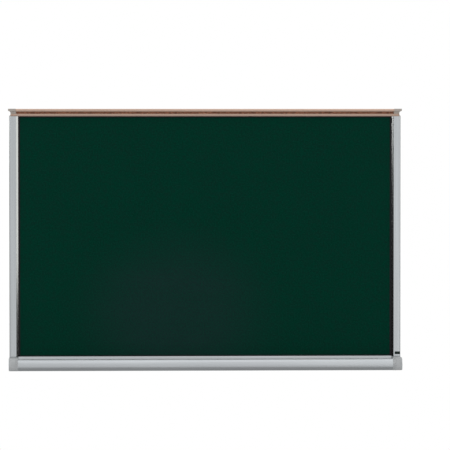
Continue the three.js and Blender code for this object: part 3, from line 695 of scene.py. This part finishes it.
def screw_holes(m, kind):
    """Countersunk clearance holes for the screws whose names start with a kind."""
    holes = []
    for name, screw, place, length, axis, way in screw_places(m):
        if name.startswith(kind):
            wide, head = screw.radius + FIT, screw.head + FIT
            profile = np.array([
                (0.05, -length - FIT), (screw.radius * 0.4, -length - FIT),
                (wide, -length + 2 * screw.radius), (wide, -screw.sink - FIT),
                (head, -0.25), (head, FIT), (0.05, FIT),
            ])
            holes.append(turned(m, profile, place, axis, way, 20))
    return holes


def threaded(m, screw, place, length, axis, way):
    """A countersunk, thread-forming screw with a cross recess.

    Its thread's radius is the core plus the height of a triangle wave of angle / (2 pi) - distance / pitch,
    faded out towards the tip and under the head. The recess is a cross whose arms narrow as they go down.
    """
    radius, head, sink, pitch = screw.radius, screw.head, screw.sink, screw.pitch
    height = 0.22 * radius
    core = radius - height
    shank = np.linspace(-length + 2 * radius, -sink - 0.8, int((length - sink) / pitch * 6))
    profile = np.concatenate((
        [(0.05, -length), (radius * 0.35, -length)],
        np.insert(shank[:, None], 0, core, 1),
        [(core, -sink - 0.3), (radius, -sink)],
        [(head, -0.3), (head - 0.1, -0.08), (head - 0.35, 0), (0.05, 0)],
    ))

    def thread(angle, along):
        wave = 1 - np.abs(2 * ((angle / (2 * math.pi) - along / pitch) % 1) - 1)
        fade = np.clip((along + length - radius) / radius, 0, 1) * np.clip((-sink - 0.4 - along) / 0.5, 0, 1)
        return height * wave * fade

    arm, slot, deep = head * 0.62, 0.34, min(sink * 0.8, 1.3)
    cross = np.array([
        (arm, -slot), (arm, slot), (slot, slot), (slot, arm), (-slot, arm), (-slot, slot),
        (-arm, slot), (-arm, -slot), (-slot, -slot), (-slot, -arm), (slot, -arm), (slot, -slot),
    ])
    rings = [
        np.insert(cross * scale, axis, at * way, 1) + np.array(place, float)
        for scale, at in ((1.12, 0.5), (1.0, 0.0), (0.55, -deep))
    ]
    return boolean(turned(m, profile, place, axis, way, 24, thread), [skin(m, rings, cross)])


def port(m, centre, screw, outside, slit, ends, axis):
    """A ring along a bar that a screw cuts its thread in, slit towards one angle."""
    half = math.radians(35)
    first, last = slit + half, slit + 2 * math.pi - half
    ring = joined(arc(centre, outside, first, last, 20), arc(centre, screw.radius + 0.2, last, first, 16))
    return bar(m, ring[:, :2], ends, axis=axis)


def end_scoop(m, sign):
    """A level cylinder, front to back, that hollows an end of the rail and its stop under the upper lip."""
    radius, reach = 6.2, 3.4
    place = (sign * (m.half - reach + radius), -10, m.opening_foot + 0.5)
    return turned(m, cylinder(radius, 60), place, 1, 1, 40)


def nose_arcs(m, grow, foot_radius):
    """The bull nose and its round foot: two circles that touch, the foot's standing on height 0."""
    radius = m.nose_radius + grow
    drop = m.foot_radius - m.nose[1]
    foot_x = m.nose[0] + math.sqrt((radius - foot_radius) ** 2 - drop ** 2)
    return radius, (foot_x, m.foot_radius), math.atan2(drop, foot_x - m.nose[0])


def rounding(start, end, rim, between):
    """Distances in from a moulding's outer face, and how far its outline moves in there to round its edges.

    Over the rim the inset is rim * (1 - sqrt(1 - e * e)), e falling from 1 at the face to 0. The inner edge
    is only eased by 0.2.
    """
    turn = np.linspace(0, math.pi / 2, 7)
    across = np.unique(np.concatenate((start + rim * (1 - np.sin(turn)), between, [end - 0.2, end])))
    edge = np.clip((start + rim - across) / rim, 0, 1)
    return across, rim * (1 - np.sqrt(1 - edge ** 2)) + np.clip(across - end + 0.2, 0, 0.2)


def moulding(m, sign, table, across, moves):
    """An outline carried in from the frame's side, at each distance across moved in by the matching move."""
    rings = [np.insert(inset(table, move), 0, sign * (m.half - at), 1) for at, move in zip(across, moves)]
    return skin(m, rings, rings[0][:, 1:])


class BoardOperator:
    """What all the board's operators share: they run at once and can be undone."""

    bl_options = {"REGISTER", "UNDO"}

    def execute(self, context):
        group = context.scene.board_colours
        colours = {key: (*getattr(group, key), 1.0) for key in BoardColours.__annotations__}
        self.build(measures(context.scene.board_sizes), SimpleNamespace(**colours))
        return {"FINISHED"}


class CHALKBOARD_OT_writing_panel(BoardOperator, bpy.types.Operator):
    """Finish the laminated panel: enamelled face, fibreboard core and backing sheet"""

    bl_idname = "chalkboard.writing_panel"
    bl_label = "Writing panel"

    def build(self, m, colours):
        patch_height = (126 - m.middle) * METRE
        enamel = finish(
            "porcelain_enamel_green", porcelain_enamel, colours.enamel, colours.enamel_reflection, patch_height
        )
        repaint("writing_sheet", enamel)
        repaint("core_board", finish("pressed_fibreboard", fibreboard, colours.board))
        repaint("backing_sheet", finish("galvanised_backing_sheet", galvanised_steel, colours.backing))


class CHALKBOARD_OT_map_rail(BoardOperator, bpy.types.Operator):
    """Build the map rail: one extruded section with its wall hook, panel pocket and cork groove"""

    bl_idname = "chalkboard.map_rail"
    bl_label = "Map rail"

    def build(self, m, colours):
        r = ROUND
        top, ceiling = m.board_height, m.board_height - WALL
        pocket_top, web_front = m.groove_foot - WALL, m.groove_floor - WALL
        outer = rounded(line(
            (m.hook_out, m.hook_foot, r), (m.hook_out, top, r),
            (m.top_lip_front, top, 1.9), (m.top_lip_front, m.opening_top + 0.6, 0.4),
            (m.low_lip_front, m.opening_top, 0.5), (m.lip_inside, m.opening_top, 0.2),
            (m.lip_inside, m.groove_top, 0.2), (m.groove_floor, m.groove_top, 0.2),
            (m.groove_floor, m.groove_foot, 0.2), (m.lip_inside, m.groove_foot, 0.2),
            (m.lip_inside, m.opening_foot, 0.3), (m.low_lip_front, m.opening_foot, 1.2),
            (m.low_lip_front - LIP_SLOPE, m.rail_foot, r), (m.lip_back, m.rail_foot, 0.3),
            (m.lip_back, pocket_top, 0.2), (web_front, pocket_top, 0.2),
            (web_front, m.web_foot, r), (m.rear_front, m.web_foot, r),
            (m.rear_front, m.rail_foot, r), (m.rear_back, m.rail_foot, r),
            (m.rear_back, ceiling, r), (m.hook_front, ceiling, r), (m.hook_front, m.hook_foot, r),
        ))
        shelf, front = m.groove_top + WALL, m.top_lip_front - WALL
        chamber = rounded(line(
            (m.rear_front, m.web_foot + WALL, 0.6), (web_front, m.web_foot + WALL, 0.6),
            (web_front, shelf, 0.3), (front, shelf, 0.3), (front, ceiling, 0.6), (m.rear_front, ceiling, 0.6),
        ))
        cuts = [
            block(m, sign, (-2, reach), (web_front, m.top_lip_front + 2), (foot, top + 2))
            for reach, foot in ((STOP_INSET, m.rail_foot - 2), (STOP_HEAD, m.opening_foot))
            for _, sign in SIDES
        ]
        piece = bar(m, outer, (-m.half, m.half), [chamber])
        boolean(piece, screw_holes(m, "frame_screw_top") + cuts + [end_scoop(m, sign) for _, sign in SIDES])
        metal = finish("champagne_anodised_aluminium", extruded_aluminium, colours.rail_aluminium, 0, 0.42)
        dress(piece, "map_rail", metal)


class CHALKBOARD_OT_cork_strip(BoardOperator, bpy.types.Operator):
    """Build the cork strip, its face uneven from the pressed granules"""

    bl_idname = "chalkboard.cork_strip"
    bl_label = "Cork strip"

    def build(self, m, colours):
        """The face stands back by the sum of three sine products of x and height, as long as granules."""
        half = m.half - STOP_HEAD - 1 - FIT
        foot, top = m.groove_foot + FIT, m.groove_top - FIT
        face = np.insert(np.linspace(foot, top, 12)[:, None], 0, m.cork_front, 1)
        outline = np.concatenate((face, [(m.groove_floor, top), (m.groove_floor, foot)]))
        x = np.linspace(-half, half, 900)
        u, v = x[:, None], outline[None, :, 1]
        waves = sum(
            np.sin(u * 2 * math.pi / long + shift) * np.sin(v * 2 * math.pi / high + 2 * shift)
            for long, high, shift in ((3.1, 2.3, 0.4), (4.7, 3.1, 1.9), (7.9, 5.3, 3.3))
        )
        depth = outline[None, :, 0] - 0.09 * (waves + 3) * (outline[None, :, 0] > m.groove_floor + 0.1)
        stations = np.stack((np.repeat(u, len(outline), 1), depth, np.repeat(v, len(x), 0)), 2)
        cork = finish("agglomerated_cork", agglomerated_cork, colours.cork, colours.cork_dark)
        dress(skin(m, stations, outline), "cork_strip", cork, 60)


class CHALKBOARD_OT_rail_end_stops(BoardOperator, bpy.types.Operator):
    """Build the moulded stops at the ends of the map rail, with a head in line with the upper lip"""

    bl_idname = "chalkboard.rail_end_stops"
    bl_label = "Rail end stops"

    def build(self, m, colours):
        """The stop's outline steps back to the cork's face between the rail's lips."""
        plastic = finish("moulded_warm_grey_abs", moulded_plastic, colours.stop, 0.5)
        top, front = m.board_height + STOP_PROUD, m.top_lip_front + STOP_PROUD
        low_front, ledge = m.low_lip_front + STOP_PROUD, m.opening_foot - STOP_PROUD
        table = line(
            (m.rear_back, m.rail_foot, 0.3), (m.rear_back, m.hook_foot, 0.2), (m.hook_out, m.hook_foot, 0.3),
            (m.hook_out, top, 0.6), (front, top, 2.0), (front, m.opening_top + 0.6, 0.5),
            (m.cork_front, m.opening_top, 0.4), (m.cork_front, ledge, 0.3),
            (low_front, ledge, 0.4), (low_front - LIP_SLOPE, m.rail_foot, 0.4),
        )
        across, rim = rounding(-STOP_PLATE, STOP_HEAD - FIT, 0.9, [STOP_INSET])
        end, foot, clear = STOP_HEAD + 1, m.rail_foot - 1, (-1, front + 1)
        groove = (m.groove_floor + FIT, m.cork_front), (m.groove_foot + FIT, m.groove_top - FIT)
        for side, sign in SIDES:
            piece = moulding(m, sign, table, across, rim)
            rear = block(m, sign, (-FIT, end), (-1, m.groove_floor - WALL + FIT), (foot, top + 1))
            lip = block(m, sign, (STOP_INSET - FIT, end), clear, (foot, m.opening_foot + FIT))
            below = block(m, sign, (-STOP_PLATE - 1, 0), clear, (foot, m.opening_foot))
            boolean(piece, [rear, lip, below, end_scoop(m, sign)])
            boolean(piece, [block(m, sign, (STOP_INSET - 1, end), *groove)], "UNION")
            dress(piece, f"rail_end_stop_{side}", plastic, 38)


class CHALKBOARD_OT_side_trims(BoardOperator, bpy.types.Operator):
    """Build the two side trims: hollow extruded bars with a sloping inner lip"""

    bl_idname = "chalkboard.side_trims"
    bl_label = "Side trims"

    def build(self, m, colours):
        # Painted shade: the upright trims get the tray's aluminium made a tenth darker, though both are the
        # same metal
        metal = finish(
            "satin_anodised_aluminium_upright_shaded", extruded_aluminium, shade(colours.aluminium, 0.9), 2, 0.15
        )
        back, front = m.hook_front, m.trim_front
        leg, slope_end = m.rear_leg_reach, front - m.bevel_drop
        ends = m.trim_foot, m.rail_foot
        section = rounded(line(
            (0, back, 0.5), (m.chamber_width, back, 0.5), (m.chamber_width, m.rear_back, 0.3),
            (leg, m.rear_back, 0.3), (leg, m.rear_front, 0.3), (m.chamber_width, m.rear_front, 0.2),
            (m.chamber_width, front - WALL, 0.2), (m.face_width, front - WALL, 0.2),
            (m.lip_reach, slope_end - 1.0, 0.25), (m.lip_reach, slope_end, 0.4),
            (m.face_width, front, 0.6), (0, front, 1.4),
        ))
        inside = m.chamber_width - WALL
        chamber = rounded(line(
            (WALL, back + WALL, 0.6), (inside, back + WALL, 0.6), (inside, front - WALL, 0.6),
            (WALL, front - WALL, 0.6),
        ))
        for side, sign in SIDES:
            place, shift = np.array((-sign, 1.0)), np.array((sign * m.half, 0.0))
            piece = bar(m, section * place + shift, ends, [chamber * place + shift], axis=2)
            rings = [
                port(m, (sign * (m.half - m.port_reach), depth), FRAME_SCREW, m.port_reach - WALL + 0.2, slit,
                     ends, 2)
                for depth, slit in zip(m.ports, (math.pi / 2, -math.pi / 2))
            ]
            boolean(piece, rings, "UNION")
            dress(piece, f"{side}_side_trim", metal)
            # The broad faces set the corner normals, so they stay flat beside the narrow roundings
            flat_shading = piece.modifiers.new("flat_shading", "WEIGHTED_NORMAL")
            flat_shading.keep_sharp = True


class CHALKBOARD_OT_gaskets(BoardOperator, bpy.types.Operator):
    """Build the black gaskets that edge the writing face, each with a bead along its free edge; their dark
    teal strip also stands for the shadow line there, as painted shade
    """

    bl_idname = "chalkboard.gaskets"
    bl_label = "Gaskets"

    def section(self, grip, show):
        """(across, off the panel) outline: thick under the frame, thin where it shows, a bead at the end."""
        thin, bead = GASKET - 0.4, GASKET - 0.15
        return rounded(line(
            (-grip, 0), (show, 0, 0.1), (show, bead, 0.5), (show - 1.1, bead, 0.4),
            (show - 1.4, thin, 0.3), (0.9, thin, 0.3), (0.5, GASKET, 0.3), (-grip, GASKET),
        ))

    def build(self, m, colours):
        # The black vinyl is partly painted shade: its dark strip also stands for the shadow under the frame's
        # lip
        vinyl = finish("black_vinyl", soft_vinyl, colours.vinyl)
        across, off = self.section(*UPRIGHT_GASKET).T
        for side, sign in SIDES:
            outline = np.column_stack((sign * (m.half - m.lip_reach - across), m.panel_front + off))
            piece = bar(m, outline, (m.panel_foot, m.rail_foot + LEVEL_GASKET[0]), axis=2)
            dress(piece, f"gasket_{side}", vinyl, 50)
        half = m.half - m.lip_reach - UPRIGHT_GASKET[1] - FIT
        across, off = self.section(*LEVEL_GASKET).T
        for name, edge, way in (("top", m.rail_foot, -1), ("bottom", m.tray_lip_top, 1)):
            outline = np.column_stack((m.panel_front + off, edge + way * across))
            dress(bar(m, outline, (-half, half)), f"gasket_{name}", vinyl, 50)


class CHALKBOARD_OT_chalk_tray(BoardOperator, bpy.types.Operator):
    """Build the chalk tray: the frame's bottom bar and a hollow bull-nosed tray in one extruded section"""

    bl_idname = "chalkboard.chalk_tray"
    bl_label = "Chalk tray"

    def ribs(self, m, back, front):
        """Three low ribs along the trough's floor, each a four-cornered bump."""
        middles = back + (front - back) * (np.arange(3) + 0.5) / 3
        shape = np.array([(-0.8, 0.0, 0.3), (-0.4, 0.8, 0.3), (0.4, 0.8, 0.3), (0.8, 0.0, 0.3)])
        rows = shape[None] + np.column_stack((middles, np.full(3, m.trough_floor), np.zeros(3)))[:, None]
        return rows.reshape(-1, 3)

    def build(self, m, colours):
        r, pi = ROUND, math.pi
        lean, lean_height, tip = 1.1, 6.5, 1.0
        radius, foot, foot_angle = nose_arcs(m, 0, m.foot_radius)
        corner = m.trough_corner
        back = m.lip_front + corner
        front = m.lip_front + m.trough_width - corner
        high = m.trough_floor + corner
        tip_x = m.lip_front + m.trough_width + tip
        tip_y = m.nose[1] + math.sqrt((radius - tip) ** 2 - (tip_x - m.nose[0]) ** 2)
        tip_angle = math.atan2(tip_y - m.nose[1], tip_x - m.nose[0])
        outer = rounded(
            line(
                (m.rear_back, m.rear_foot, r), (m.rear_back, m.rear_top, r), (m.rear_front, m.rear_top, r),
                (m.rear_front, m.pocket, 0.3), (m.lip_back, m.pocket, 0.3), (m.lip_back, m.tray_lip_top, 0.5),
                (m.lip_front - lean, m.tray_lip_top, 0.4), (m.lip_front, m.tray_lip_top - lean_height, 0.5),
            ),
            arc((back, high), corner, pi, 1.5 * pi, 22),
            self.ribs(m, back, front),
            arc((front, high), corner, 1.5 * pi, 2 * pi, 22),
            arc((tip_x, tip_y), tip, pi, tip_angle, 10),
            arc(m.nose, radius, tip_angle, foot_angle, 44),
            arc(foot, m.foot_radius, foot_angle, -pi / 2, 12),
            line(
                (m.lip_back, 0, r), (m.lip_back, m.pocket - WALL, 0.3), (m.rear_front, m.pocket - WALL, 0.3),
                (m.rear_front, m.rear_foot, r),
            ),
        )
        roof = corner + WALL
        inner, inner_foot, inner_angle = nose_arcs(m, -WALL, m.foot_radius - WALL)
        top_angle = math.asin((m.chamber_top - m.nose[1]) / inner)
        chamber = rounded(
            line((m.lip_front, WALL, 0.6)),
            arc(inner_foot, m.foot_radius - WALL, -pi / 2, inner_angle, 8),
            arc(m.nose, inner, inner_angle, top_angle, 30),
            line((m.lip_front + m.trough_width + WALL, m.chamber_top, 0.6)),
            arc((front, high), roof, 0, -pi / 2, 18),
            arc((back, high), roof, -pi / 2, math.acos(corner / roof) - pi, 18),
        )
        ends = -m.half, m.half
        piece = bar(m, outer, ends, [chamber])
        rings = [
            port(m, (depth, height), CAP_SCREW, m.cap_port_radius, slit, ends, 0)
            for _, depth, height, slit in m.cap_ports
        ]
        boolean(piece, rings, "UNION")
        beyond, above = m.tray_projection + 4, 40
        cuts = [
            block(m, sign, (-1, reach), (start, beyond), (low, above))
            for reach, start, low in (
                (m.cap_width, m.lip_front + 0.05, -1), (m.lip_reach + FIT, 0, m.trim_foot)
            )
            for _, sign in SIDES
        ]
        boolean(piece, cuts + screw_holes(m, "frame_screw_bottom"))
        metal = finish("satin_anodised_aluminium_level", extruded_aluminium, colours.aluminium, 0, 0.32)
        dress(piece, "chalk_tray", metal)


class CHALKBOARD_OT_tray_end_caps(BoardOperator, bpy.types.Operator):
    """Build the moulded caps that close the tray's ends, with rounded edges and low grip ribs"""

    bl_idname = "chalkboard.tray_end_caps"
    bl_label = "Tray end caps"

    def outline(self, m):
        """The cap from the side: flat top, bull nose, round foot and a step up to the wall side."""
        radius, foot, foot_angle = nose_arcs(m, 1.0, m.foot_radius)
        top_angle = math.asin((m.trim_foot - m.nose[1]) / radius)
        return joined(
            line((m.rear_back, m.rear_foot, 0.8), (m.rear_back, m.trim_foot, 0.8)),
            arc(m.nose, radius, top_angle, foot_angle, 44),
            arc(foot, m.foot_radius, foot_angle, -math.pi / 2, 12),
            line((m.lip_front + FIT, 0, 0.8), (m.lip_front + FIT, m.rear_foot, 0.5)),
        )

    def build(self, m, colours):
        """The outline is carried along x, moved in where the outer edge is rounded.

        Over each rib it moves out by 0.5 times the squared cosine of the distance from the rib's middle.
        """
        plastic = finish("moulded_grey_abs", moulded_plastic, colours.cap, 0.48)
        table = self.outline(m)
        width, middle, floor = m.cap_width, m.lip_front + m.trough_width / 2, WALL + FIT
        across, rim = rounding(-CAP_PLATE, width, 2.4, np.linspace(0, width - 0.5, 70))
        middles = width - 2.2 * np.arange(1, 4) - 0.5
        away = np.clip(np.abs(across[:, None] - middles) / 0.8, 0, 1)
        ribs = (0.5 * np.cos(away * math.pi / 2) ** 2).sum(1)
        hollow = m.cap_ports[0][2] * 2 + CAP_PLATE, m.trim_foot - 2 * CAP_PLATE
        clear, around = (-1, m.tray_projection + 9), (-9, m.board_width + 9)
        for side, sign in SIDES:
            piece = moulding(m, sign, table, across, rim - ribs)
            cored = block(m, sign, (CAP_PLATE, width - CAP_PLATE), (0, middle), hollow)
            over_trim = block(m, sign, (0, width + 1), (-1, m.lip_front + FIT), (-2, 40))
            above = block(m, sign, around, clear, (m.trim_foot, 40))
            below = block(m, sign, around, clear, (-9, 0))
            tongue = block(m, sign, (width - 1, width + 10), (middle - 9, middle + 9), (floor, floor + 4.6))
            boolean(piece, [cored, over_trim, above, below])
            boolean(piece, [tongue], "UNION")
            boolean(piece, screw_holes(m, f"cap_screw_{side}"))
            dress(piece, f"tray_end_cap_{side}", plastic, 38)


class CHALKBOARD_OT_screws(BoardOperator, bpy.types.Operator):
    """Build the screws that hold the frame and the tray's end caps"""

    bl_idname = "chalkboard.screws"
    bl_label = "Screws"

    def build(self, m, colours):
        zinc = finish("bright_zinc_steel", bright_zinc, colours.zinc)
        for name, *screw in screw_places(m):
            dress(threaded(m, *screw), name, zinc, 40)


class CHALKBOARD_OT_wall_fixings(BoardOperator, bpy.types.Operator):
    """Build the hanger rail and the two lower clips that are screwed to the building wall"""

    bl_idname = "chalkboard.wall_fixings"
    bl_label = "Wall fixings"

    def hook(self, m, gauge, foot, step, lip_back, lip_top, middle, half, holes):
        """A strip bent twice: a leg on the wall, a step out and a lip upwards, with its screw holes.

        holes gives their places along the strip, from its middle, and their height.
        """
        bend, under = gauge * 0.5 + 0.5, step - gauge
        outline = rounded(line(
            (0, foot, 0.3), (0, step, bend), (lip_back, step, 0.3), (lip_back, lip_top, 0.3),
            (lip_back + gauge, lip_top, 0.3), (lip_back + gauge, under, bend), (gauge, under, 0.3),
            (gauge, foot, 0.3),
        ), steps=8)
        places, height = holes
        drills = [turned(m, cylinder(2.5, 8), (middle + place, -4, height), 1) for place in places]
        return boolean(bar(m, outline, (middle - half, middle + half)), drills)

    def build(self, m, colours):
        half = m.hanger_length / 2
        outermost = half - 20
        holes = (-outermost, -HALF_STUDS, HALF_STUDS, outermost), m.middle - HANGER_GAUGE
        lip_top = m.board_height - WALL - FIT
        foot, step = m.step_top - 20, m.step_top
        piece = self.hook(m, HANGER_GAUGE, foot, step, m.hanger_lip_back, lip_top, 0, half, holes)
        metal = finish("mill_finish_aluminium", extruded_aluminium, colours.mill, 0, 0.5)
        dress(piece, "hanger_rail", metal)
        zinc = finish("bright_zinc_steel", bright_zinc, colours.zinc)
        step, foot = m.rear_foot - FIT, 1
        hole = (0,), (foot + step - CLIP_GAUGE) / 2
        for side, sign in SIDES:
            middle = sign * m.clip_spacing / 2
            piece = self.hook(m, CLIP_GAUGE, foot, step, m.rear_front + FIT, step + 4, middle, 20, hole)
            dress(piece, f"lower_wall_clip_{side}", zinc)


class CHALKBOARD_OT_blank_plate(BoardOperator, bpy.types.Operator):
    """Build the small bare plate near the foot of the right side trim"""

    bl_idname = "chalkboard.blank_plate"
    bl_label = "Bare plate"

    def build(self, m, colours):
        """A rounded outline carried out from the trim and moved in by a quarter circle at its front edge."""
        half_width, half_height, thick, edge = m.plate_width / 2, m.plate_height / 2, 0.5, 0.2
        middle = m.half - 0.9 - half_width, m.trim_foot + 5.8 + half_height
        corners = np.array([(-1, -1, 0), (1, -1, 0), (1, 1, 0), (-1, 1, 0)])
        flat = rounded(corners * (half_width, half_height, 0) + (*middle, 0.8), steps=8)
        turn = np.linspace(0, math.pi / 2, 5)
        depths = m.trim_front + np.insert(thick - edge + edge * np.sin(turn), 0, 0)
        moves = np.insert(edge * (1 - np.cos(turn)), 0, 0)
        rings = [np.insert(grown(flat, -move), 1, depth, 1) for depth, move in zip(depths, moves)]
        metal = finish("black_anodised_plate", black_anodised, colours.plate)
        dress(skin(m, rings, flat), "blank_plate", metal)


class CHALKBOARD_OT_stage(BoardOperator, bpy.types.Operator):
    """Set the camera, the soft studio lamps, the white surroundings and the pale floor"""

    bl_idname = "chalkboard.stage"
    bl_label = "Stage"

    def aimed(self, name, data, place, target):
        """A camera or a lamp at a place, looking at a target."""
        item = put(name, data)
        item.location = place
        item.rotation_euler = (Vector(target) - Vector(place)).to_track_quat("-Z", "Y").to_euler()
        return item

    def camera(self, m):
        """The photograph's viewpoint: far off, a little to the left and above, aimed beside the board."""
        face_depth, left, above = 0.023, math.radians(2.4), math.radians(1.7)
        reach = 9.0 - face_depth
        target = Vector((0.0460, -face_depth, (m.board_height / 2 - m.middle) * METRE + 0.0336))
        board_pixels, picture_pixels = 391.8, 450
        data = bpy.data.cameras.new("camera")
        data.sensor_width = 36
        data.lens = board_pixels / (m.board_width * METRE) * reach * data.sensor_width / picture_pixels
        data.clip_end = 100
        place = target + Vector((-reach * math.tan(left), -reach, reach * math.tan(above)))
        bpy.context.scene.camera = self.aimed("camera", data, place, target)

    def lamp(self, name, place, target, width, height, power, tint):
        """A rectangular softbox."""
        data = bpy.data.lights.new(name, "AREA")
        data.shape = "RECTANGLE"
        data.size, data.size_y = width, height
        data.energy = power
        data.color = linear(tint)[:3]
        self.aimed(name, data, place, target)

    def surroundings(self):
        """White where the camera sees it. Metal sees it brighter above than below and brighter to the right.

        It also has a dark flag at each side of the camera: where |x| * 0.85 - y * 0.53, the likeness to the
        flag's direction, comes near 1.
        """
        world = bpy.data.worlds.new("white_surroundings")
        tree = empty_tree(world)
        rays = add_node(tree, "ShaderNodeLightPath").outputs
        where = add_node(tree, "ShaderNodeTexCoord").outputs["Generated"]
        x, y, z = add_node(tree, "ShaderNodeSeparateXYZ", {0: where}).outputs
        flag_x, flag_y = 0.85, -0.53
        ahead = reckoned(tree, "MULTIPLY", y, flag_y)
        flag = reckoned(tree, "MULTIPLY_ADD", reckoned(tree, "ABSOLUTE", x), flag_x, ahead)
        graded = reckoned(
            tree, "MULTIPLY", spread(tree, z, -0.75, 0.0, 0.3, 1.06), spread(tree, x, -0.1, 0.3, 0.97, 1.32)
        )
        level = reckoned(tree, "MULTIPLY", graded, spread(tree, flag, 0.62, 0.86, 1.0, 0.01))
        soft, mirror, white = (
            add_node(tree, "ShaderNodeBackground", {"Color": WHITE, "Strength": strength}).outputs[0]
            for strength in (0.8, level, 1.0)
        )
        mirrored = reckoned(tree, "MAXIMUM", rays["Is Glossy Ray"], rays["Is Transmission Ray"])
        seen = mixed(tree, rays["Is Camera Ray"], mixed(tree, mirrored, soft, mirror), white)
        add_node(tree, "ShaderNodeOutputWorld", {"Surface": seen})
        bpy.context.scene.world = world

    def floor(self, m):
        """A round pale floor, as far under the tray as a room's floor is, that fades to white at its rim.

        It lights the board from below like a dim grey floor.
        """
        radius, corners, under_tray = 2.8, 96, 0.75
        rim = arc((0, 0), radius, 0, 2 * math.pi, corners + 1)[:-1] + (0, 0, -m.middle * METRE - under_tray)
        mesh = bpy.data.meshes.new("floor")
        mesh.from_pydata(rim.tolist(), [], [list(range(corners))])
        material = bpy.data.materials.new("pale_floor")
        tree = empty_tree(material)
        away = distance(tree, mapped(tree, Scale=(1, 1, 0)))
        pale = add_node(tree, "ShaderNodeBsdfDiffuse", {"Color": linear("f4f4f2")}).outputs[0]
        white, dim = (
            add_node(tree, "ShaderNodeEmission", {"Color": WHITE, "Strength": strength}).outputs[0]
            for strength in (1.0, 0.45)
        )
        faded = mixed(tree, spread(tree, away, 1.1, 2.7), pale, white)
        seen = add_node(tree, "ShaderNodeLightPath").outputs["Is Camera Ray"]
        behind = add_node(tree, "ShaderNodeNewGeometry").outputs["Backfacing"]
        clear = add_node(tree, "ShaderNodeBsdfTransparent").outputs[0]
        one_sided = mixed(tree, behind, mixed(tree, seen, dim, faded), clear)
        add_node(tree, "ShaderNodeOutputMaterial", {"Surface": one_sided})
        mesh.materials.append(material)
        put("floor", mesh)

    def build(self, m, colours):
        bpy.context.scene.view_settings.view_transform = "Standard"
        self.camera(m)
        self.surroundings()
        self.floor(m)
        self.lamp("right_softbox", (1.75, -1.4, -0.08), (-0.4, 0, -0.08), 0.9, 0.86, 3.9, "fffcf5")
        self.lamp("overhead_softbox", (0.4, -0.9, 2.3), (0, 0, -0.5), 2.4, 1.4, 3, "ffffff")
        self.lamp("left_softbox", (-1.5, -1.1, 0.12), (0.4, 0, 0.08), 0.5, 0.39, 3.0, "fffdf8")


class CHALKBOARD_PT_sidebar(bpy.types.Panel):
    """Sizes, colours and builders of the framed chalkboard"""

    bl_idname = "CHALKBOARD_PT_sidebar"
    bl_label = "Chalkboard"
    bl_space_type = "VIEW_3D"
    bl_region_type = "UI"
    bl_category = "Chalkboard"

    def draw(self, context):
        """The sizes and the colours in a column each, then a button for each builder."""
        for group in (context.scene.board_sizes, context.scene.board_colours):
            column = self.layout.column(align=True)
            for key in type(group).__annotations__:
                column.prop(group, key)
        column = self.layout.column(align=True)
        for builder in BUILDERS:
            column.operator(builder.bl_idname)


BUILDERS = (
    CHALKBOARD_OT_writing_panel,
    CHALKBOARD_OT_map_rail,
    CHALKBOARD_OT_cork_strip,
    CHALKBOARD_OT_rail_end_stops,
    CHALKBOARD_OT_side_trims,
    CHALKBOARD_OT_gaskets,
    CHALKBOARD_OT_chalk_tray,
    CHALKBOARD_OT_tray_end_caps,
    CHALKBOARD_OT_screws,
    CHALKBOARD_OT_wall_fixings,
    CHALKBOARD_OT_blank_plate,
    CHALKBOARD_OT_stage,
)
CLASSES = (BoardSizes, BoardColours, *BUILDERS, CHALKBOARD_PT_sidebar)


def register():
    """Register the classes and hang the sizes and colours on the scene."""
    for item in CLASSES:
        bpy.utils.register_class(item)
    bpy.types.Scene.board_sizes = PointerProperty(type=BoardSizes)
    bpy.types.Scene.board_colours = PointerProperty(type=BoardColours)


def unregister():
    """Take the classes and the scene's properties away again."""
    del bpy.types.Scene.board_colours
    del bpy.types.Scene.board_sizes
    for item in reversed(CLASSES):
        bpy.utils.unregister_class(item)


def main():
    """Build the whole board."""
    register()
    for builder in BUILDERS:
        getattr(bpy.ops.chalkboard, builder.bl_idname.split(".")[1])()


if __name__ == "__main__":
    main()
